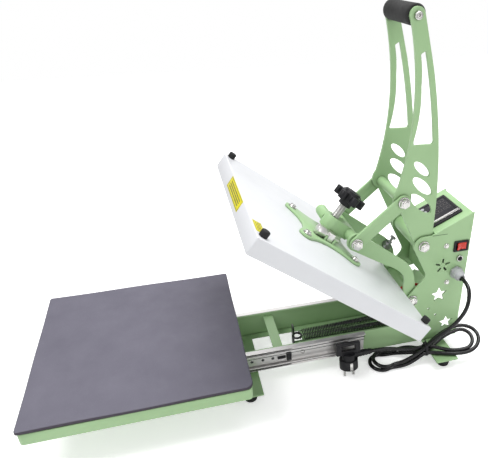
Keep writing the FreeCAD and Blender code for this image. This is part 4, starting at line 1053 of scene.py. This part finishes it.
def pressure_screw():
    """Threaded rod with its cut thread, and the moulded star knob."""
    place = TILT @ Matrix.Translation(mm(0, 192, 0))
    mesh = thread_mesh("pressure_rod", 41.4 * MM, 110.8 * MM, 7.95 * MM, 2.0 * MM, 1.1 * MM, place)
    rod = add_riding("pressure_rod", mesh, "pressure_screw", "zinc_steel")
    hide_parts("threaded_rod")
    rounded_copy("star_knob", 1.6 * MM, "pressure_screw", "black_plastic", name="star_knob_moulded")
    insert = turned_mesh("knob_insert", in_mm([(137, 5.6), (137.5, 5.6), (137.9, 5.0)]), place, 32)
    add_riding("knob_insert", insert, "pressure_screw", "black_plastic")


# ---------------------------------------------------------------- trim, labels and display


def sticker(name, low, high):
    """A thin plate with soft edges lying on the cover, in the platen's frame."""
    mesh = block_mesh(name, low, high, TILT, soft=0.12 * MM)
    add_riding(name, mesh, "platen", "white_paint", "yellow_label")


def print_frame(name, centre, half, layer, flat):
    """A thin printed border and three plain bars on a sticker; flat puts it on the top."""
    bm = bmesh.new()
    line = 0.9
    cx, cy = centre
    hx, hy = half
    bars = [(cx - hx, cy - hy, cx + hx, cy - hy + line), (cx - hx, cy + hy - line, cx + hx, cy + hy)]
    bars += [(cx - hx, cy - hy, cx - hx + line, cy + hy), (cx + hx - line, cy - hy, cx + hx, cy + hy)]
    for share in (-0.45, 0.0, 0.45):
        middle = cy + share * hy
        bars.append((cx - hx * 0.8, middle - hy * 0.1, cx + hx * 0.8, middle + hy * 0.1))
    for ax, ay, bx, by in bars:
        for vert in bmesh.ops.create_cube(bm, size=1.0)["verts"]:
            share = vert.co + Vector((0.5, 0.5, 0.5))
            across, up, out = ax + (bx - ax) * share.x, ay + (by - ay) * share.y, layer + 0.12 * share.z
            spot = (across, up, out) if flat else (across, -out, up)
            vert.co = TILT @ Vector(mm(*spot))
    add_riding(name, finish_mesh(name, bm), "platen", "white_paint", "label_print")


def platen_labels():
    """Two yellow stickers on the white cover, with a border and plain bars for print."""
    sticker("cover_sticker_top", mm(126, 3, 32.5), mm(166, 20, 32.8))
    sticker("cover_sticker_front", mm(-62, -0.3, 9), mm(60, 0, 31))
    print_frame("cover_print_top", (146, 11.5), (18.6, 7.4), 32.75, True)
    print_frame("cover_print_front", (-1, 20), (59.5, 9.8), 0.25, False)


PANEL_RISE, PANEL_RUN = 321 - 280, 423.5 - 337
PANEL = Matrix.Translation(mm(0, 337, 280)) @ Matrix.Rotation(math.atan2(PANEL_RISE, PANEL_RUN), 4, "X")


def panel_details():
    """Silver strip, four soft buttons and unlit digit bars on the display."""
    strip = block_mesh("display_strip", mm(25, 15, 2.9), mm(32, 79, 3.4), PANEL, soft=0.2 * MM)
    add_riding("display_strip", strip, "base", "chrome_steel")
    for index in range(4):
        x, y = -29 + index * 13, 24
        place = PANEL @ Matrix.Translation(mm(x, y, 2.0))
        name = "display_button_%d" % (index + 1)
        profile = in_mm([(0, 4.2), (0.5, 4.2), (0.9, 3.7), (1.0, 2.0)])
        add_riding(name, turned_mesh(name, profile, place, 28), "base", "grey_nylon")
    for row in range(2):
        for digit in range(3):
            digit_bars(row, digit)


def digit_bars(row, digit):
    """The seven bars of one unlit figure."""
    x0, y0 = -28 + digit * 14, 38 + row * 19
    width, height = 8.0, 14.0
    bars = []
    for level in (0, height / 2, height):
        bars.append(((0, level), (width, level + 1.2)))
    for x in (-0.6, width - 0.6):
        for y in (1.0, height / 2 + 1.0):
            bars.append(((x, y + 0.6), (x + 1.2, y + height / 2 - 1.6)))
    bm = bmesh.new()
    for (ax, ay), (bx, by) in bars:
        made = bmesh.ops.create_cube(bm, size=1.0)["verts"]
        for vert in made:
            share = vert.co + Vector((0.5, 0.5, 0.5))
            spot = (x0 + ax + (bx - ax) * share.x, y0 + ay + (by - ay) * share.y, 1.95 + 0.2 * share.z)
            vert.co = PANEL @ Vector(mm(*spot))
    name = "display_figure_%d_%d" % (row + 1, digit + 1)
    add_riding(name, finish_mesh(name, bm), "base", "dark_glass", "unlit_segment")


def housing_seam():
    """The dark gap where the right side plate's upper corner is let in."""
    mesh = block_mesh("housing_seam", mm(60.0, 338.5, 279.4), mm(60.12, 370.5, 280.4))
    add_riding("housing_seam", mesh, "base", "mint_paint", "seam")


ROUNDED = [
    ("corner_caps", 1.6, "platen", "black_rubber"),
    ("rubber_feet", 1.4, "base", "black_rubber"),
    ("platen_cover", 0.9, "platen", "white_paint"),
    ("lower_tray", 0.8, "drawer", "mint_paint"),
    ("spider_screws", 0.35, "platen", "chrome_steel"),
    ("guide_bolt", 0.6, "platen", "zinc_steel"),
    ("thrust_block", 0.8, "platen", "zinc_steel"),
    ("stop_bolt", 0.4, "arm", "zinc_steel"),
    ("pressure_yoke", 0.9, "arm", "mint_paint"),
    ("pivot_axles", 0.5, "base", "chrome_steel"),
    ("handle_bolts", 0.5, "handle", "chrome_steel"),
    ("link_bolts", 0.5, "links", "chrome_steel"),
    ("links", 0.5, "links", "mint_paint"),
    ("platen_spider", 0.5, "platen", "mint_paint"),
    ("housing_screws", 0.3, "base", "chrome_steel"),
    ("display_bezel", 0.6, "base", "black_plastic"),
    ("switch_frame", 0.5, "base", "black_plastic"),
    ("switch_rocker", 0.6, "rocker", "red_plastic"),
    ("breaker_nut", 0.6, "base", "chrome_steel"),
    ("breaker_button", 0.6, "reset_button", "black_plastic"),
    ("relay_block", 0.8, "base", "relay_plastic"),
    ("heat_platen", 0.8, "platen", "cast_aluminium"),
    ("spring_anchor", 0.4, "base", "spring_steel"),
]


DULL = ("stop_bolt",)


def round_edges():
    for node, width, body, slot in ROUNDED:
        rounded_copy(node, width * MM, body, slot, "dull_steel" if node in DULL else None)


# ---------------------------------------------------------------- build the scene

make_camera()
make_floor()
make_light()
dress_nodes()
lay_cord()
return_springs()
heater_lead()
silicone_pad()
slide_details()
foam_grip()
pressure_screw()
platen_labels()
panel_details()
housing_seam()
round_edges()
